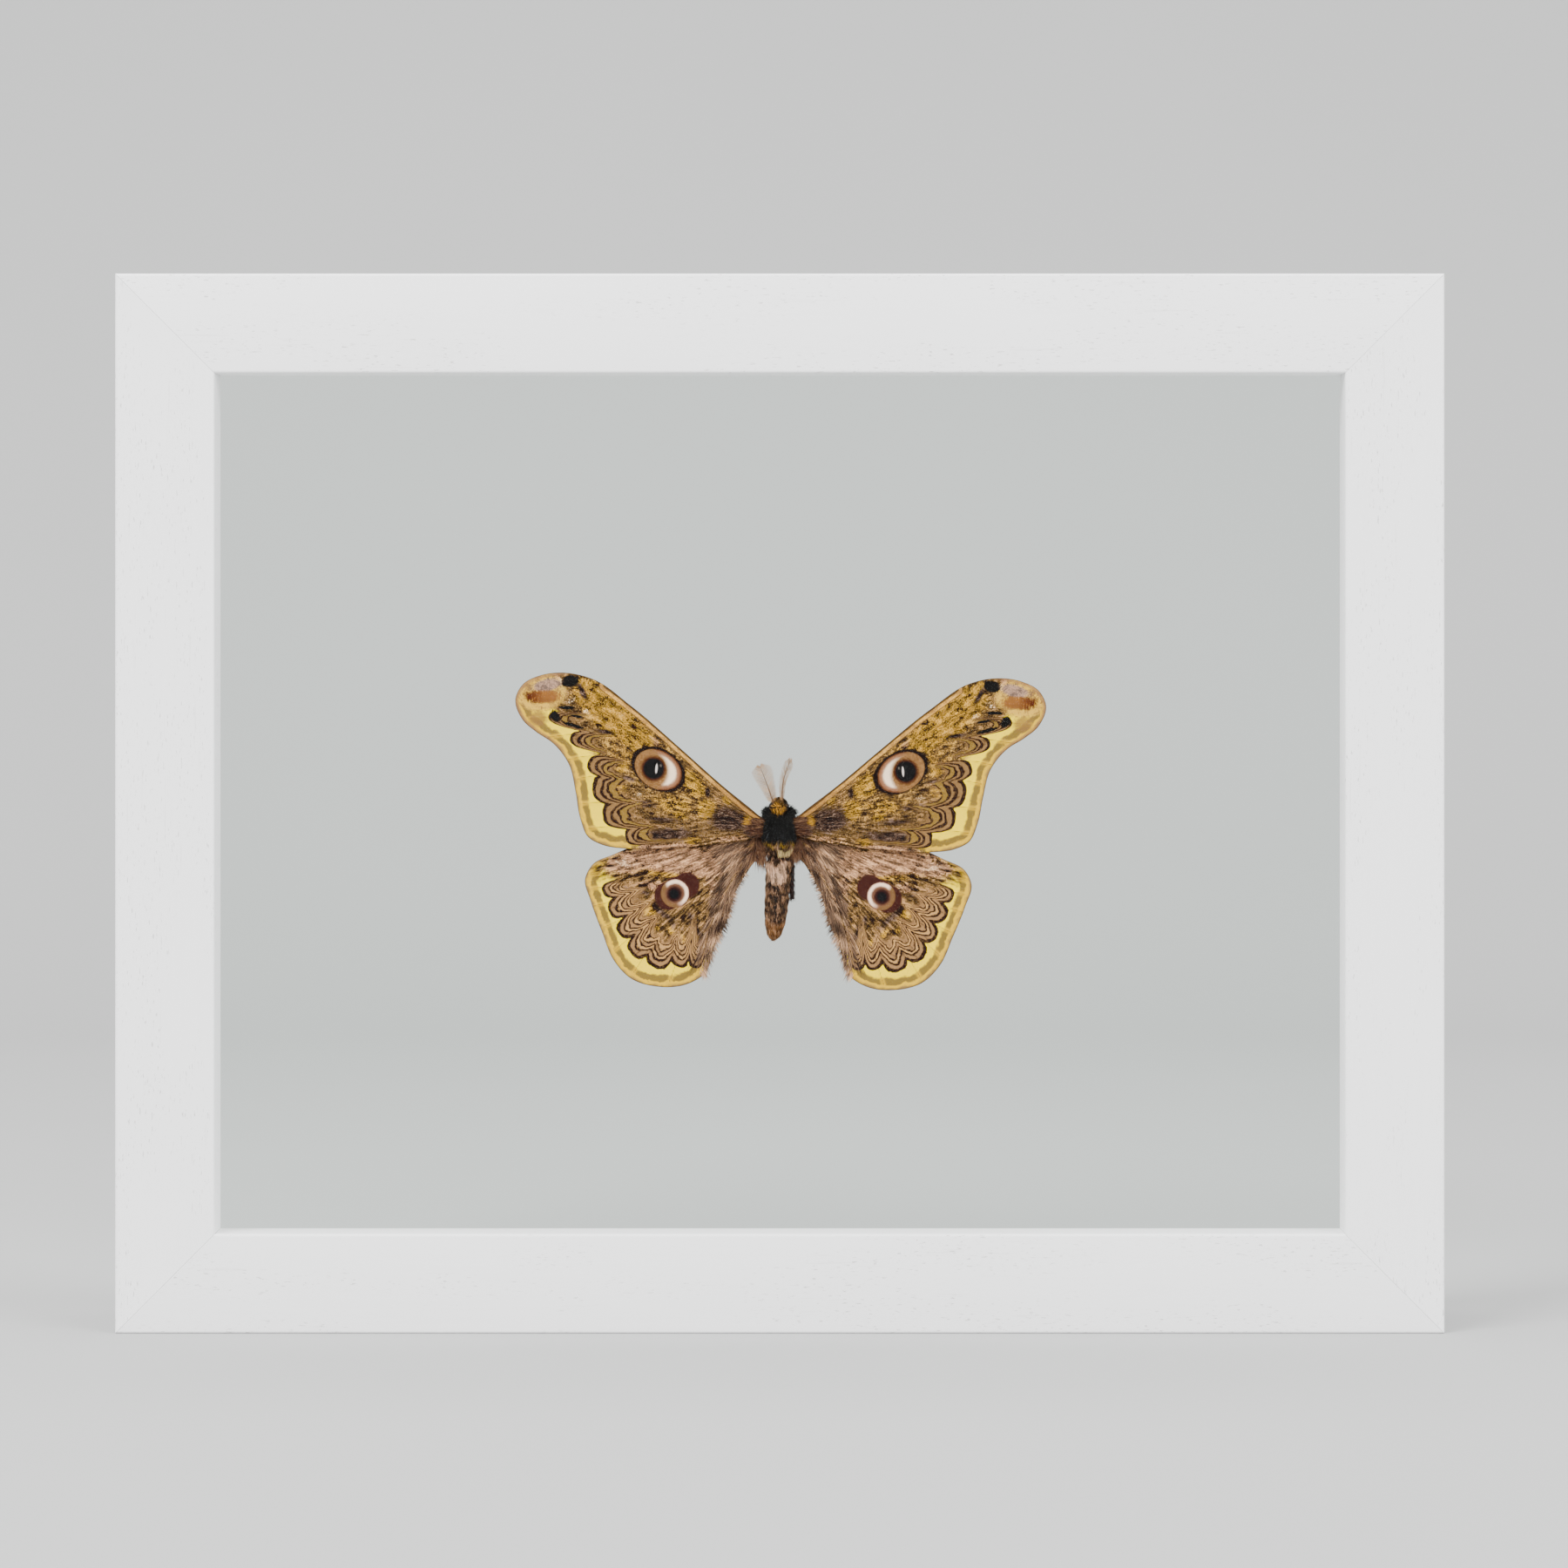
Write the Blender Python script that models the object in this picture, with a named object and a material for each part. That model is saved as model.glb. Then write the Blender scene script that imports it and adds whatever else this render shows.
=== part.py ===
"""A Caligula anna moth, wings spread, mounted between two panes of glass in a white wooden case.

Sizes are in millimetres and are turned into metres once, when a piece is finished.
The case stands on its bottom rail: X runs along its width, Y into its depth and Z up,
with the origin under its middle. The moth is modelled about the middle of its thorax.
"""
import math
import random

import bmesh
import bpy
from mathutils import Matrix, Vector
from mathutils.geometry import delaunay_2d_cdt

MM = 0.001
GAP = 0.3

# The case
CASE_WIDTH = 254.0
CASE_HEIGHT = 202.5
CASE_DEPTH = 34.0
FACE_WIDTH = 19.0
LIP_DEPTH = 10.0
WEB_WIDTH = 12.0
EDGE_CHAMFER = 0.5
GLASS_THICKNESS = 2.0
SPACER_WIDTH = 3.7
SPACER_DEPTH = 14.0
BEAD_WIDTH = 3.5
BEAD_DEPTH = 4.0

FRONT = -CASE_DEPTH / 2
LIP_BACK = FRONT + LIP_DEPTH
FRONT_GLASS_AT = LIP_BACK + GAP
SPACER_AT = FRONT_GLASS_AT + GLASS_THICKNESS + GAP
BACK_GLASS_AT = SPACER_AT + SPACER_DEPTH + GAP
BEAD_AT = BACK_GLASS_AT + GLASS_THICKNESS + GAP

# The moth in the case: the middle of its thorax
MOTH_AT = (-0.3, 3.0, 96.1)

# The body
THORAX_CENTRE = (0.0, 0.0, -1.4)
THORAX_RADII = (3.4, 4.0, 4.9)
HEAD_CENTRE = (0.0, -0.6, 4.0)
HEAD_RADII = (1.6, 1.9, 1.6)
EYE_RADIUS = 0.8
EYE_AT = (1.45, -1.0, 4.5)
ABDOMEN_TOP = -4.6
ABDOMEN_TIP = -22.6
ABDOMEN_HALF_WIDTH = 2.85
ABDOMEN_HALF_DEPTH = 2.7
ABDOMEN_LEAN = -0.9
ABDOMEN_RINGS = 8

# The long hair, as flat tapering locks: length, half width, half thickness at the root
THORAX_LOCK = (3.0, 0.62, 0.30)
THORAX_LOCK_ROWS = 6
THORAX_LOCKS_IN_ROW = 6
THORAX_LOCK_SPREAD = 46
SHOULDER_LOCK = (2.8, 0.70, 0.30)
SHOULDER_LOCK_HEIGHTS = (1.9, 0.8, -0.3)
SHOULDER_ROOT = (1.5, -2.75)
HEAD_LOCK = (1.7, 0.42, 0.28)
ABDOMEN_LOCK = (2.3, 0.60, 0.28)
FRINGE_LOCK = (2.6, 0.42, 0.26)
FRINGE_LOCKS = 9
ROOT_LOCK = (3.2, 0.60, 0.26)
LOCK_TAPER = (0.85, 1.0, 0.72, 0.18)
LOCK_SUNK = 0.7

# The wings, as (out from the middle line, up) about the thorax
WING_THICKNESS = 0.5
FOREWING_DEPTH = -1.5
HINDWING_DEPTH = -0.4
WING_BOW = 1.6
WING_BOW_SPAN = 50.0
RIM_STEP = 2.2
VEIN_STEP = 3.0
VEIN_HALF_WIDTH = 0.45
VEIN_RIDGE = 0.16
FILL_STEP = 4.4
FOREWING_DROOP = {"left": 0.0, "right": 1.7}
HINDWING_DROOP = {"left": 0.0, "right": 2.0}
FOREWING_HINGE = (5.7, 2.5)
HINDWING_HINGE = (4.4, -2.0)

FOREWING_OUTLINE = [
    (2.5, 1.0), (4.3, 2.6), (10.8, 7.9), (19.5, 15.6), (28.8, 23.6), (36.4, 28.9), (41.5, 30.1),
    (46.6, 29.6), (50.0, 27.9), (51.5, 25.0), (50.0, 20.8), (47.5, 18.6), (44.1, 16.3), (41.0, 12.2),
    (39.7, 6.8), (38.8, 1.7), (37.2, -2.0), (34.4, -3.5), (30.0, -4.2), (20.8, -4.1), (10.0, -3.0),
    (4.5, -2.0), (2.5, -1.2),
]
HINDWING_OUTLINE = [
    (2.4, -1.4), (8.0, -1.0), (18.0, -1.6), (27.0, -3.2), (32.4, -5.4), (36.4, -7.3), (37.9, -10.1),
    (36.8, -14.5), (34.6, -20.5), (32.2, -26.2), (29.1, -29.5), (23.5, -31.2), (18.0, -30.7),
    (14.6, -28.7), (12.5, -22.9), (10.3, -18.5), (8.3, -12.3), (6.5, -9.3), (4.8, -6.8), (2.4, -4.6),
]
FOREWING_VEINS = {
    "subcosta": [(5.8, 2.2), (16.4, 10.4), (25.2, 17.4), (31.0, 22.6), (35.0, 26.6)],
    "radius": [(4.8, 0.9), (12.6, 6.9), (19.8, 12.4), (24.9, 15.6)],
    "radius_fork": [(24.9, 15.6), (30.6, 20.4), (36.0, 24.0), (42.0, 27.6)],
    "radius_tip": [(30.6, 20.4), (37.0, 23.4), (43.5, 25.0), (50.0, 25.2)],
    "media_1": [(25.6, 13.9), (32.6, 19.4), (40.4, 21.6), (48.6, 21.2)],
    "media_2": [(25.9, 12.4), (33.0, 16.7), (39.8, 18.1), (45.2, 17.5)],
    "media_3": [(25.6, 10.9), (32.2, 13.3), (36.8, 13.9), (41.2, 13.2)],
    "cubitus_1": [(25.0, 9.4), (30.5, 10.0), (35.4, 10.1), (39.3, 9.4)],
    "cubitus_2": [(19.4, 6.9), (26.0, 6.4), (32.8, 5.1), (38.4, 4.6)],
    "cubitus_3": [(12.6, 4.0), (21.0, 2.9), (29.6, 0.7), (37.2, -0.3)],
    "cubitus": [(4.8, 0.0), (12.6, 4.0), (19.4, 6.9), (25.0, 9.4)],
    "anal": [(5.0, -1.0), (14.3, -1.9), (22.8, -2.4), (29.5, -3.3)],
    "cell_end": [(24.9, 15.6), (25.6, 13.9), (25.9, 12.4), (25.6, 10.9), (25.0, 9.4)],
}
HINDWING_VEINS = {
    "subcosta": [(6.0, -2.5), (16.0, -4.0), (26.2, -5.2), (33.4, -6.9)],
    "radius": [(12.6, -6.8), (19.4, -7.6), (27.0, -8.5), (36.6, -9.3)],
    "media_1": [(17.7, -9.3), (26.0, -10.8), (36.6, -12.0)],
    "media_2": [(20.8, -11.5), (28.0, -13.4), (36.0, -15.4)],
    "media_3": [(21.4, -13.2), (28.0, -16.6), (34.2, -19.6)],
    "cubitus_1": [(19.8, -14.6), (26.6, -19.4), (32.2, -24.2)],
    "cubitus_2": [(17.2, -13.3), (23.2, -20.6), (28.4, -28.4)],
    "anal_1": [(11.6, -9.6), (17.6, -20.0), (21.4, -30.2)],
    "anal_2": [(6.8, -6.4), (12.4, -16.5), (15.8, -28.6)],
    "cell_front": [(4.9, -3.3), (12.6, -6.8), (17.7, -9.3), (20.8, -11.5)],
    "cell_back": [(4.9, -4.3), (11.6, -9.6), (17.2, -13.3), (19.8, -14.6)],
    "cell_end": [(20.8, -11.5), (21.4, -13.2), (19.8, -14.6)],
}
WINGS = (
    {"name": "forewing", "outline": FOREWING_OUTLINE, "veins": FOREWING_VEINS, "depth": FOREWING_DEPTH,
     "hinge": FOREWING_HINGE, "droop": FOREWING_DROOP, "fringed": False},
    {"name": "hindwing", "outline": HINDWING_OUTLINE, "veins": HINDWING_VEINS, "depth": HINDWING_DEPTH,
     "hinge": HINDWING_HINGE, "droop": HINDWING_DROOP, "fringed": True},
)

# The hair along the hindwing's inner margin: where it grows, and its lie
FRINGE_LINE = [(8.6, -12.8), (10.5, -18.3), (12.6, -22.9), (14.6, -28.2)]
FRINGE_LIE = (-0.75, -1.0)
ROOT_LOCK_SPOTS = [(4.4, -5.4), (5.2, -6.6), (6.2, -8.2)]
ROOT_LIE = (-0.25, -1.0)

# The antennae: base, middle and tip of each shaft, and how far its plume is turned edge on
ANTENNA_LINES = {
    "left": [(-0.9, -1.6, 4.2), (-2.2, -2.6, 8.0), (-3.7, -2.4, 11.9)],
    "right": [(0.6, -1.6, 4.4), (0.8, -2.7, 8.8), (2.2, -2.4, 13.1)],
}
ANTENNA_TURN = {"left": 10, "right": 62}
ANTENNA_SHAFT = (0.34, 0.22)
RAMI_PAIRS = 11
RAMUS_HALF_WIDTH = 0.26
RAMUS_ANGLE = 52
RAMUS_LONGEST = 2.5

# The legs, folded behind the body: out from the middle line, into the depth, up
LEG_RADII = (0.52, 0.30)
FORE_LEG = [(1.6, 2.6, 0.6), (2.4, 5.0, 1.8), (1.5, 5.3, 3.4), (0.9, 4.8, 4.6), (0.7, 4.2, 5.4)]
MID_LEG = [(2.2, 2.6, -1.6), (3.9, 5.0, -1.9), (4.9, 5.2, -3.4), (4.8, 5.2, -5.2), (4.5, 4.6, -6.6)]
HIND_LEG_HIDDEN = [(1.8, 2.4, -3.2), (1.9, 4.4, -5.6), (1.7, 4.6, -8.6), (1.3, 4.4, -12.0), (1.0, 4.4, -14.4)]
HIND_LEG_SHOWING = [(1.8, 2.4, -3.2), (2.5, 4.4, -5.6), (2.7, 4.6, -8.6), (2.6, 4.4, -12.0), (2.8, 4.2, -14.4)]
LEG_LINES = {
    "left": {"fore": FORE_LEG, "mid": MID_LEG, "hind": HIND_LEG_HIDDEN},
    "right": {"fore": FORE_LEG, "mid": MID_LEG, "hind": HIND_LEG_SHOWING},
}

# The clear dab that holds the thorax to the back pane
DAB_RADIUS = 1.9
DAB_SUNK = 2.0

FINISHES = {
    "white_paint": ((0.90, 0.90, 0.89, 1.0), 0.45, 0.0),
    "glass": ((0.92, 0.97, 0.95, 1.0), 0.03, 0.0),
    "black_fur": ((0.03, 0.03, 0.04, 1.0), 0.80, 0.0),
    "golden_fur": ((0.55, 0.33, 0.08, 1.0), 0.80, 0.0),
    "brown_fur": ((0.28, 0.17, 0.09, 1.0), 0.80, 0.0),
    "wing_scales": ((0.48, 0.34, 0.14, 1.0), 0.70, 0.0),
    "antenna": ((0.70, 0.52, 0.25, 1.0), 0.60, 0.0),
    "eye": ((0.02, 0.015, 0.01, 1.0), 0.15, 0.0),
    "leg": ((0.10, 0.03, 0.03, 1.0), 0.60, 0.0),
    "adhesive": ((0.90, 0.90, 0.85, 1.0), 0.20, 0.0),
}


def material(finish):
    """The Principled material of one finish, made once."""
    if finish in bpy.data.materials:
        return bpy.data.materials[finish]
    colour, roughness, metallic = FINISHES[finish]
    made = bpy.data.materials.new(finish)
    made.use_nodes = True
    shader = made.node_tree.nodes["Principled BSDF"]
    shader.inputs["Base Color"].default_value = colour
    shader.inputs["Roughness"].default_value = roughness
    shader.inputs["Metallic"].default_value = metallic
    made.diffuse_color = colour
    return made


def mesh_object(name, bm, collection):
    """An object in millimetres from a bmesh, which is freed."""
    mesh = bpy.data.meshes.new(name)
    bm.to_mesh(mesh)
    bm.free()
    made = bpy.data.objects.new(name, mesh)
    collection.objects.link(made)
    return made


def finish(piece, finish_name, parent=None, smooth_degrees=40):
    """Give a finished piece its material and parent, and turn it into metres."""
    piece.data.materials.clear()
    piece.data.materials.append(material(finish_name))
    piece.data.transform(Matrix.Scale(MM, 4))
    piece.location = piece.location * MM
    piece.parent = parent
    piece.data.shade_smooth()
    piece.data.set_sharp_from_angle(angle=math.radians(smooth_degrees))


def apply_modifiers(piece):
    """Replace a piece's mesh by what its modifiers make of it."""
    bpy.context.view_layer.update()
    evaluated = piece.evaluated_get(bpy.context.evaluated_depsgraph_get())
    made = bpy.data.meshes.new_from_object(evaluated)
    piece.modifiers.clear()
    piece.data = made


def cut_clear(piece, cutter, solver="EXACT"):
    """Cut a piece back from a cutter. A fused piece needs the MANIFOLD solver, as EXACT empties it."""
    boolean = piece.modifiers.new("clear", "BOOLEAN")
    boolean.operation = "DIFFERENCE"
    boolean.object = cutter
    boolean.solver = solver
    apply_modifiers(piece)
    keep_largest(piece)


def keep_largest(piece):
    """Drop all but the largest closed surface of a piece."""
    bm = bmesh.new()
    bm.from_mesh(piece.data)
    left = set(bm.verts)
    bodies = []
    while left:
        body = set()
        front = [left.pop()]
        while front:
            vert = front.pop()
            body.add(vert)
            near = [edge.other_vert(vert) for edge in vert.link_edges]
            front += [other for other in near if other in left]
            left.difference_update(near)
        bodies.append(body)
    bodies.sort(key=lambda body: max(v.co.x for v in body) - min(v.co.x for v in body)
                + max(v.co.z for v in body) - min(v.co.z for v in body))
    loose = [vert for body in bodies[:-1] for vert in body]
    bmesh.ops.delete(bm, geom=loose, context="VERTS")
    bm.to_mesh(piece.data)
    bm.free()


def smooth_line(points, spacing, closed=False):
    """Points about a set distance apart on the smooth curve through the given ones."""
    knots = [Vector(point) for point in points]
    count = len(knots)

    def slope(i):
        if not closed and i in (0, count - 1):
            j = min(i, count - 2)
            return (knots[j + 1] - knots[j]).normalized()
        before = knots[i % count] - knots[i - 1]
        after = knots[(i + 1) % count] - knots[i % count]
        mixed = before.normalized() * after.length + after.normalized() * before.length
        return mixed / (before.length + after.length)

    line = []
    for i in range(count if closed else count - 1):
        start, end = knots[i], knots[(i + 1) % count]
        chord = (end - start).length
        steps = max(1, round(chord / spacing))
        for step in range(steps):
            t = step / steps
            line.append(start * (2 * t**3 - 3 * t**2 + 1) + slope(i) * chord * (t**3 - 2 * t**2 + t)
                        + end * (3 * t**2 - 2 * t**3) + slope((i + 1) % count) * chord * (t**3 - t**2))
    if not closed:
        line.append(knots[-1])
    return line


def blade(name, line, half_width, half_thickness, across, taper, collection):
    """A flat tapering blade along a line, its width lying along the given direction."""
    frames = []
    for i, spot in enumerate(line):
        run = (line[min(i + 1, len(line) - 1)] - line[max(i - 1, 0)]).normalized()
        side = (across - run * across.dot(run)).normalized()
        thin = run.cross(side)
        columns = [side * half_width * taper[i], thin * half_thickness * math.sqrt(taper[i]), run]
        frame = Matrix([list(column) for column in columns]).transposed().to_4x4()
        frame.translation = spot
        frames.append(frame)
    bm = bmesh.new()
    corners = [frames[0] @ Vector((x, y, 0)) for x, y in ((-1, -1), (1, -1), (1, 1), (-1, 1))]
    cap = bm.faces.new([bm.verts.new(corner) for corner in corners])
    for i in range(1, len(frames)):
        swept = bmesh.ops.extrude_face_region(bm, geom=[cap])["geom"]
        if i > 1:
            bmesh.ops.delete(bm, geom=[cap], context="FACES_ONLY")
        cap = next(part for part in swept if isinstance(part, bmesh.types.BMFace))
        bmesh.ops.transform(bm, matrix=frames[i] @ frames[i - 1].inverted(), verts=cap.verts)
    bmesh.ops.recalc_face_normals(bm, faces=bm.faces)
    return mesh_object(name, bm, collection)


def lock(root, lie, out, sizes, lift, collection):
    """One lock of long hair: rooted under the skin, rising by its lift and bending back along its lie."""
    length, half_width, half_thickness = sizes
    lie = (lie - out * lie.dot(out)).normalized()
    line = [root - out * LOCK_SUNK, root + lie * length * 0.35 + out * lift * 0.6,
            root + lie * length * 0.72 + out * lift, root + lie * length + out * lift * 0.9]
    return blade("lock", line, half_width, half_thickness, lie.cross(out), LOCK_TAPER, collection)


def fuse(piece, extras):
    """Join pieces into one closed body, and remove them."""
    boolean = piece.modifiers.new("fuse", "BOOLEAN")
    boolean.operation = "UNION"
    boolean.operand_type = "COLLECTION"
    boolean.collection = extras
    boolean.solver = "MANIFOLD"
    apply_modifiers(piece)
    for extra in list(extras.objects):
        bpy.data.objects.remove(extra)
    keep_largest(piece)


def ellipsoid(centre, radii, grow=0.0, segments=20, rings=14):
    """A ball stretched to three radii, each larger by grow."""
    bm = bmesh.new()
    bmesh.ops.create_uvsphere(bm, u_segments=segments, v_segments=rings, radius=1.0)
    bmesh.ops.scale(bm, vec=[radius + grow for radius in radii], verts=bm.verts)
    bmesh.ops.translate(bm, vec=centre, verts=bm.verts)
    return bm


def mitred_rail(name, side, section, collection):
    """One side of a rectangle: a section of (in from the edge, depth) points, ends cut at 45 degrees."""
    length = CASE_WIDTH if side in ("bottom", "top") else CASE_HEIGHT
    turn, place = {
        "bottom": (0, (0, 0, 0)),
        "top": (180, (0, 0, CASE_HEIGHT)),
        "left": (90, (-CASE_WIDTH / 2, 0, CASE_HEIGHT / 2)),
        "right": (-90, (CASE_WIDTH / 2, 0, CASE_HEIGHT / 2)),
    }[side]
    bm = bmesh.new()
    profile = bm.faces.new([bm.verts.new((-length / 2, depth, inward)) for inward, depth in section])
    swept = bmesh.ops.extrude_face_region(bm, geom=[profile])["geom"]
    bmesh.ops.translate(bm, vec=(length, 0, 0), verts=[v for v in swept if isinstance(v, bmesh.types.BMVert)])
    for end in (-1, 1):
        bmesh.ops.bisect_plane(bm, geom=bm.verts[:] + bm.edges[:] + bm.faces[:],
                               plane_co=(end * (length / 2 - GAP / math.sqrt(2)), 0, 0),
                               plane_no=(end, 0, 1), clear_outer=True)
        rim = [edge for edge in bm.edges if edge.is_boundary]
        bmesh.ops.contextual_create(bm, geom=rim)
    bmesh.ops.recalc_face_normals(bm, faces=bm.faces)
    rail = mesh_object(name, bm, collection)
    rail.rotation_euler.y = math.radians(turn)
    rail.location = place
    return rail


def rectangle(inward, width, depth, thickness):
    """A rectangular section for a mitred rail."""
    return [(inward, depth), (inward + width, depth), (inward + width, depth + thickness),
            (inward, depth + thickness)]


def build_case(collection):
    """The four rails, and in their rebate the front pane, spacers, back pane and beads."""
    back = CASE_DEPTH / 2
    rail_section = [
        (EDGE_CHAMFER, FRONT), (FACE_WIDTH - EDGE_CHAMFER, FRONT), (FACE_WIDTH, FRONT + EDGE_CHAMFER),
        (FACE_WIDTH, LIP_BACK), (WEB_WIDTH, LIP_BACK), (WEB_WIDTH, back), (EDGE_CHAMFER, back),
        (0, back - EDGE_CHAMFER), (0, FRONT + EDGE_CHAMFER),
    ]
    rebate = WEB_WIDTH + GAP
    spacer_section = rectangle(rebate, SPACER_WIDTH, SPACER_AT, SPACER_DEPTH)
    bead_section = rectangle(rebate, BEAD_WIDTH, BEAD_AT, BEAD_DEPTH)
    for side in ("bottom", "top", "left", "right"):
        for kind, section in (("rail", rail_section), ("spacer", spacer_section), ("bead", bead_section)):
            finish(mitred_rail(f"{kind}_{side}", side, section, collection), "white_paint")
    for name, depth in (("glass_front", FRONT_GLASS_AT), ("glass_back", BACK_GLASS_AT)):
        bm = bmesh.new()
        bmesh.ops.create_cube(bm, size=1.0)
        size = (CASE_WIDTH - 2 * rebate, GLASS_THICKNESS, CASE_HEIGHT - 2 * rebate)
        bmesh.ops.scale(bm, vec=size, verts=bm.verts)
        pane = mesh_object(name, bm, collection)
        pane.location = (0, depth + GLASS_THICKNESS / 2, CASE_HEIGHT / 2)
        finish(pane, "glass")


def vein_height(spot, crests):
    """How far the membrane is raised at a spot by the nearest vein."""
    nearest = VEIN_HALF_WIDTH
    for crest in crests:
        for start, end in zip(crest, crest[1:]):
            run = end - start
            along = max(0.0, min(1.0, (spot - start).dot(run) / run.length_squared))
            nearest = min(nearest, (spot - start - run * along).length)
    return VEIN_RIDGE * (1.0 - nearest / VEIN_HALF_WIDTH)


def inside(spot, rim):
    """Whether a spot lies inside a closed outline."""
    within = False
    for start, end in zip(rim, rim[1:] + rim[:1]):
        if (start.y > spot.y) != (end.y > spot.y):
            crossing = start.x + (spot.y - start.y) / (end.y - start.y) * (end.x - start.x)
            within ^= spot.x < crossing
    return within


def vein_flanks(crest, rim, others):
    """Points at the foot of a vein on both sides, where nothing else is near."""
    flanks = []
    for before, here, after in zip(crest, crest[1:], crest[2:]):
        across = (after - before).normalized().orthogonal() * VEIN_HALF_WIDTH
        for spot in (here + across, here - across):
            room = min((spot - other).length for other in others + rim)
            if room > VEIN_HALF_WIDTH and inside(spot, rim):
                flanks.append(spot)
    return flanks


def fill_points(rim, taken):
    """Points spread evenly over what the rim and the veins leave free."""
    fill = []
    row_step = FILL_STEP * math.sqrt(3) / 2
    low, high = min(spot.y for spot in rim), max(spot.y for spot in rim)
    for row in range(1, int((high - low) / row_step) + 1):
        for column in range(int(max(spot.x for spot in rim) / FILL_STEP) + 1):
            spot = Vector(((column + row % 2 / 2) * FILL_STEP, low + row * row_step))
            if inside(spot, rim) and min((spot - other).length for other in taken) > FILL_STEP / 3:
                fill.append(spot)
    return fill


def wing_place(wing, side, outward, up, lift=0.0):
    """A spot of a wing's flat plan, in the moth: bowed, turned about its hinge and mirrored."""
    hinge = Vector((wing["hinge"][0], 0, wing["hinge"][1]))
    spot = Vector((outward, wing["depth"] + WING_BOW * (outward / WING_BOW_SPAN) ** 2 + lift, up))
    turned = Matrix.Rotation(math.radians(wing["droop"][side]), 3, "Y") @ (spot - hinge) + hinge
    return Vector((-turned.x, turned.y, turned.z)) if side == "left" else turned


def build_wing(wing, side, collection):
    """One wing: a bowed membrane of even thickness, with its veins raised on both faces."""
    rim = smooth_line(wing["outline"], RIM_STEP, closed=True)
    crests = [smooth_line(line, VEIN_STEP) for line in wing["veins"].values()]
    points = list(rim)
    edges = []
    for crest in crests:
        edges += [(len(points) + i, len(points) + i + 1) for i in range(len(crest) - 1)]
        points += crest
    for crest in crests:
        others = [spot for other in crests if other is not crest for spot in other]
        points += vein_flanks(crest, rim, others)
    points += fill_points(rim, points)
    flat, _, triangles, *_ = delaunay_2d_cdt(points, edges, [list(range(len(rim)))], 1, 1e-3)

    bm = bmesh.new()
    verts = [bm.verts.new((spot.x, 0.0, spot.y)) for spot in flat]
    for triangle in triangles:
        bm.faces.new([verts[i] for i in triangle])
    swept = bmesh.ops.extrude_face_region(bm, geom=bm.faces[:])["geom"]
    back = {vert for vert in swept if isinstance(vert, bmesh.types.BMVert)}
    for vert in bm.verts:
        half = WING_THICKNESS / 2 + vein_height(Vector((vert.co.x, vert.co.z)), crests)
        vert.co = wing_place(wing, side, vert.co.x, vert.co.z, half if vert in back else -half)
    bmesh.ops.recalc_face_normals(bm, faces=bm.faces)
    return mesh_object(f"{wing['name']}_{side}", bm, collection)


def build_fringe(wing, side, extras, chance):
    """The hair along a hindwing's inner margin, and at its root, as locks in the membrane's plane."""
    hair = [(along, FRINGE_LOCK, FRINGE_LIE) for along in smooth_line(FRINGE_LINE, 1.0)]
    stride = (len(hair) - 1) / (FRINGE_LOCKS - 1)
    hair = [hair[round(i * stride)] for i in range(FRINGE_LOCKS)]
    hair += [(Vector(spot), ROOT_LOCK, ROOT_LIE) for spot in ROOT_LOCK_SPOTS]
    for spot, (length, half_width, half_thickness), lie in hair:
        reach = Vector(lie).normalized() * length * chance.uniform(0.8, 1.15)
        bend = Vector((-reach.y, reach.x)) * chance.uniform(-0.12, 0.12)
        plan = [spot - reach * 0.35, spot + reach * 0.2, spot + reach * 0.65 + bend, spot + reach + bend]
        line = [wing_place(wing, side, point.x, point.y) for point in plan]
        blade("lock", line, half_width, half_thickness, Vector((1, 0, 0)), LOCK_TAPER, extras)


def abdomen_form():
    """The abdomen, ringed and leaning a little, from a ball whose rings are set to its girth."""
    bm = bmesh.new()
    bmesh.ops.create_uvsphere(bm, u_segments=18, v_segments=26, radius=1.0)
    for vert in bm.verts:
        along = (1.0 - vert.co.z) / 2
        girth = math.hypot(vert.co.x, vert.co.y)
        fullness = (1 - 0.2 * along) * math.sqrt(max(0.0, 1 - along**7)) * min(1.0, 6 * along) ** 0.5
        fullness *= 1 + 0.04 * abs(math.sin(math.pi * ABDOMEN_RINGS * along))
        reach = fullness / girth if girth > 1e-6 else 0.0
        vert.co = (vert.co.x * reach * ABDOMEN_HALF_WIDTH + ABDOMEN_LEAN * along**1.5,
                   vert.co.y * reach * ABDOMEN_HALF_DEPTH,
                   ABDOMEN_TOP + (ABDOMEN_TIP - ABDOMEN_TOP) * along)
    return bm


def tube(name, line, radii, spacing, collection):
    """A round tapering tube along a smooth line, as a mesh."""
    spots = smooth_line(line, spacing)
    curve = bpy.data.curves.new(name, "CURVE")
    curve.dimensions = "3D"
    curve.bevel_depth = 1.0
    curve.bevel_resolution = 1
    curve.use_fill_caps = True
    spline = curve.splines.new("POLY")
    spline.points.add(len(spots) - 1)
    for i, (point, spot) in enumerate(zip(spline.points, spots)):
        share = i / (len(spots) - 1)
        point.co = (*spot, 1.0)
        point.radius = radii[0] + (radii[1] - radii[0]) * share
    guide = bpy.data.objects.new(name, curve)
    collection.objects.link(guide)
    bpy.context.view_layer.update()
    evaluated = guide.evaluated_get(bpy.context.evaluated_depsgraph_get())
    bm = bmesh.new()
    bm.from_mesh(bpy.data.meshes.new_from_object(evaluated))
    bpy.data.objects.remove(guide)
    bmesh.ops.remove_doubles(bm, verts=bm.verts, dist=0.001)
    bmesh.ops.recalc_face_normals(bm, faces=bm.faces)
    return mesh_object(name, bm, collection)


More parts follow.
